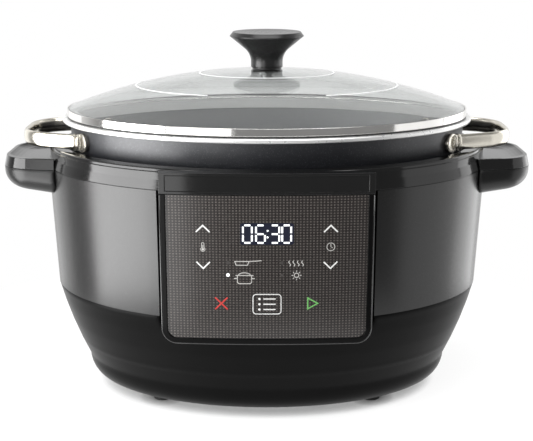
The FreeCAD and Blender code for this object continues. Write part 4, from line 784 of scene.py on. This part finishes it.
sun = stroke(circle(SUN_X, SUN_Z, 1.7, 18), MODE_LINE, closed=True)
ray_starts = circle(SUN_X, SUN_Z, 2.5, SUN_RAYS)
ray_ends = circle(SUN_X, SUN_Z, 3.7, SUN_RAYS)
for ray in zip(ray_starts, ray_ends):
    sun += stroke(list(ray), MODE_LINE)
mark("icon_warm", sun, grey_ink)

mark("lamp_lit", disc(-29.1, 133.3, LIT_LAMP_RADIUS), lit_white)
for name, x, z in (("lamp_a", -29.0, 142.9), ("lamp_b", 11.4, 142.9), ("lamp_c", 11.4, 133.3)):
    mark(name, disc(x, z, DARK_LAMP_RADIUS), dark_lamp)

# Touch places: a cross, a list and a triangle
cross = stroke([(-38.9, 106.2), (-29.5, 115.6)], STOP_LINE)
cross += stroke([(-38.9, 115.6), (-34.75, 111.45)], STOP_LINE)
cross += stroke([(-33.65, 110.35), (-29.5, 106.2)], STOP_LINE)
mark("touch_stop", cross, red_ink)
menu = stroke(rounded_box(-10.4, 102.7, 10.7, 118.2, 2.4), MENU_FRAME_LINE, closed=True)
for z in (114.6, 110.45, 106.3):
    menu += disc(-5.6, z, 0.95, 14) + stroke([(-2.6, z), (6.6, z)], MENU_ROW_LINE)
mark("touch_menu", menu, white_ink)
triangle = stroke([(30.8, 115.2), (30.8, 106.6), (38.3, 110.9)], START_LINE, closed=True)
mark("touch_start", triangle, green_ink)


def make_edge():
    """A round bar down the left of the panel, along its foot and up its right."""
    left = [(-EDGE_HALF, EDGE_TOP)]
    left += arc(EDGE_CORNER - EDGE_HALF, EDGE_LOW + EDGE_CORNER, EDGE_CORNER, 180.0, 270.0, 12)
    path = divided(left + [(-x, z) for x, z in reversed(left)])
    rings = []
    for k, (x, z) in enumerate(path):
        x0, z0 = path[max(k - 1, 0)]
        x1, z1 = path[min(k + 1, len(path) - 1)]
        along = Vector((x1 - x0, z1 - z0)).normalized()
        ring = []
        for side in range(EDGE_SIDES):
            around = FULL_TURN * side / EDGE_SIDES
            out = EDGE_RADIUS * math.cos(around)
            lift = EDGE_LIFT + EDGE_RADIUS * math.sin(around)
            ring.append(on_face(x + out * along.y, z - out * along.x, lift))
        rings.append(ring)
    closed_bar("bezel_edge", rings, panel_edge)


make_edge()


# Studio: pale floor and white surround, soft lamps

def background_rays(tree, glossy_share=None):
    """1 for the rays that see the plain background: from the camera, through glass and by reflection."""
    path = tree.nodes.new("ShaderNodeLightPath")
    reflected = path.outputs["Is Glossy Ray"]
    if glossy_share:
        reflected = maths(tree, "MULTIPLY", reflected, glossy_share)
    seen = maths(tree, "MAXIMUM", path.outputs["Is Camera Ray"], path.outputs["Is Transmission Ray"])
    return maths(tree, "MAXIMUM", seen, reflected)


def mixed(tree, share, first, second):
    """The first shader where the share is 0 and the second where it is 1."""
    node = tree.nodes.new("ShaderNodeMixShader")
    tree.links.new(share, node.inputs["Fac"])
    tree.links.new(first, node.inputs[1])
    tree.links.new(second, node.inputs[2])
    return node.outputs["Shader"]


def floor_material():
    """Pale paper. Background rays see it lifted to near white, with a painted shadow close to the feet,
    and white far out.
    """
    material = bpy.data.materials.new("pale_floor")
    material.use_nodes = True
    tree = material.node_tree
    tree.nodes.clear()
    out = tree.nodes.new("ShaderNodeOutputMaterial")
    paper = tree.nodes.new("ShaderNodeBsdfDiffuse")
    paper.inputs["Color"].default_value = (*grey(FLOOR_GREY), 1.0)
    # Painted shadow: occlusion close to the object dims the lift that background rays see
    open_sky = tree.nodes.new("ShaderNodeAmbientOcclusion")
    open_sky.inputs["Distance"].default_value = SHADOW_REACH
    lift = tree.nodes.new("ShaderNodeEmission")
    glow = spread(tree, open_sky.outputs["AO"], SHADOW_LIFT, FLOOR_LIFT, *SHADOW_FADE)
    tree.links.new(glow, lift.inputs["Strength"])
    both = tree.nodes.new("ShaderNodeAddShader")
    tree.links.new(paper.outputs["BSDF"], both.inputs[0])
    tree.links.new(lift.outputs["Emission"], both.inputs[1])
    white = tree.nodes.new("ShaderNodeEmission")
    white.inputs["Strength"].default_value = 1.0
    length = tree.nodes.new("ShaderNodeVectorMath")
    length.operation = "LENGTH"
    tree.links.new(object_coords(tree), length.inputs[0])
    fade = eased(tree, length.outputs["Value"], *FLOOR_FADE)
    near_far = mixed(tree, fade, both.outputs["Shader"], white.outputs["Emission"])
    seen = mixed(tree, background_rays(tree), paper.outputs["BSDF"], near_far)
    tree.links.new(seen, out.inputs["Surface"])
    return material


def make_floor():
    turns = [FULL_TURN * k / FLOOR_SIDES for k in range(FLOOR_SIDES)]
    rim = [(FLOOR_RADIUS * math.cos(t), FLOOR_RADIUS * math.sin(t), 0.0) for t in turns]
    floor = new_piece("floor", rim, [tuple(range(FLOOR_SIDES))], floor_material())


def make_world():
    """Dim room light, and white for background rays, in reflections only towards the back."""
    world = bpy.data.worlds.new("studio")
    bpy.context.scene.world = world
    world.use_nodes = True
    tree = world.node_tree
    tree.nodes.clear()
    out = tree.nodes.new("ShaderNodeOutputWorld")
    white = tree.nodes.new("ShaderNodeBackground")
    set_sockets(white, {"Color": WHITE, "Strength": 1.0})
    room = tree.nodes.new("ShaderNodeBackground")
    set_sockets(room, {"Color": WHITE, "Strength": ROOM_LIGHT})
    coords = tree.nodes.new("ShaderNodeTexCoord")
    parts = tree.nodes.new("ShaderNodeSeparateXYZ")
    tree.links.new(coords.outputs["Generated"], parts.inputs["Vector"])
    rays = background_rays(tree, eased(tree, parts.outputs["Y"], *BACKDROP_TURN))
    mix = mixed(tree, rays, room.outputs["Background"], white.outputs["Background"])
    tree.links.new(mix, out.inputs["Surface"])


def soft_lamp(name, place, aim, size, power):
    data = bpy.data.lights.new(name, "AREA")
    data.shape = "RECTANGLE"
    data.size, data.size_y = size
    data.energy = power
    lamp = bpy.data.objects.new(name, data)
    lamp.location = place
    lamp.rotation_euler = (Vector(aim) - Vector(place)).to_track_quat("-Z", "Y").to_euler()
    lamp.visible_camera = False
    bpy.context.scene.collection.objects.link(lamp)


make_floor()
make_world()
for name, values in LAMPS.items():
    soft_lamp(name, *values)

camera_data = bpy.data.cameras.new("camera")
camera_data.lens = CAMERA_LENS
camera_data.sensor_width = SENSOR_WIDTH
camera_data.sensor_fit = "HORIZONTAL"
camera = bpy.data.objects.new("camera", camera_data)
camera.location = CAMERA_PLACE
camera.rotation_euler = (CAMERA_PITCH, 0.0, 0.0)
bpy.context.scene.collection.objects.link(camera)
bpy.context.scene.camera = camera
bpy.context.scene.view_settings.view_transform = "Standard"
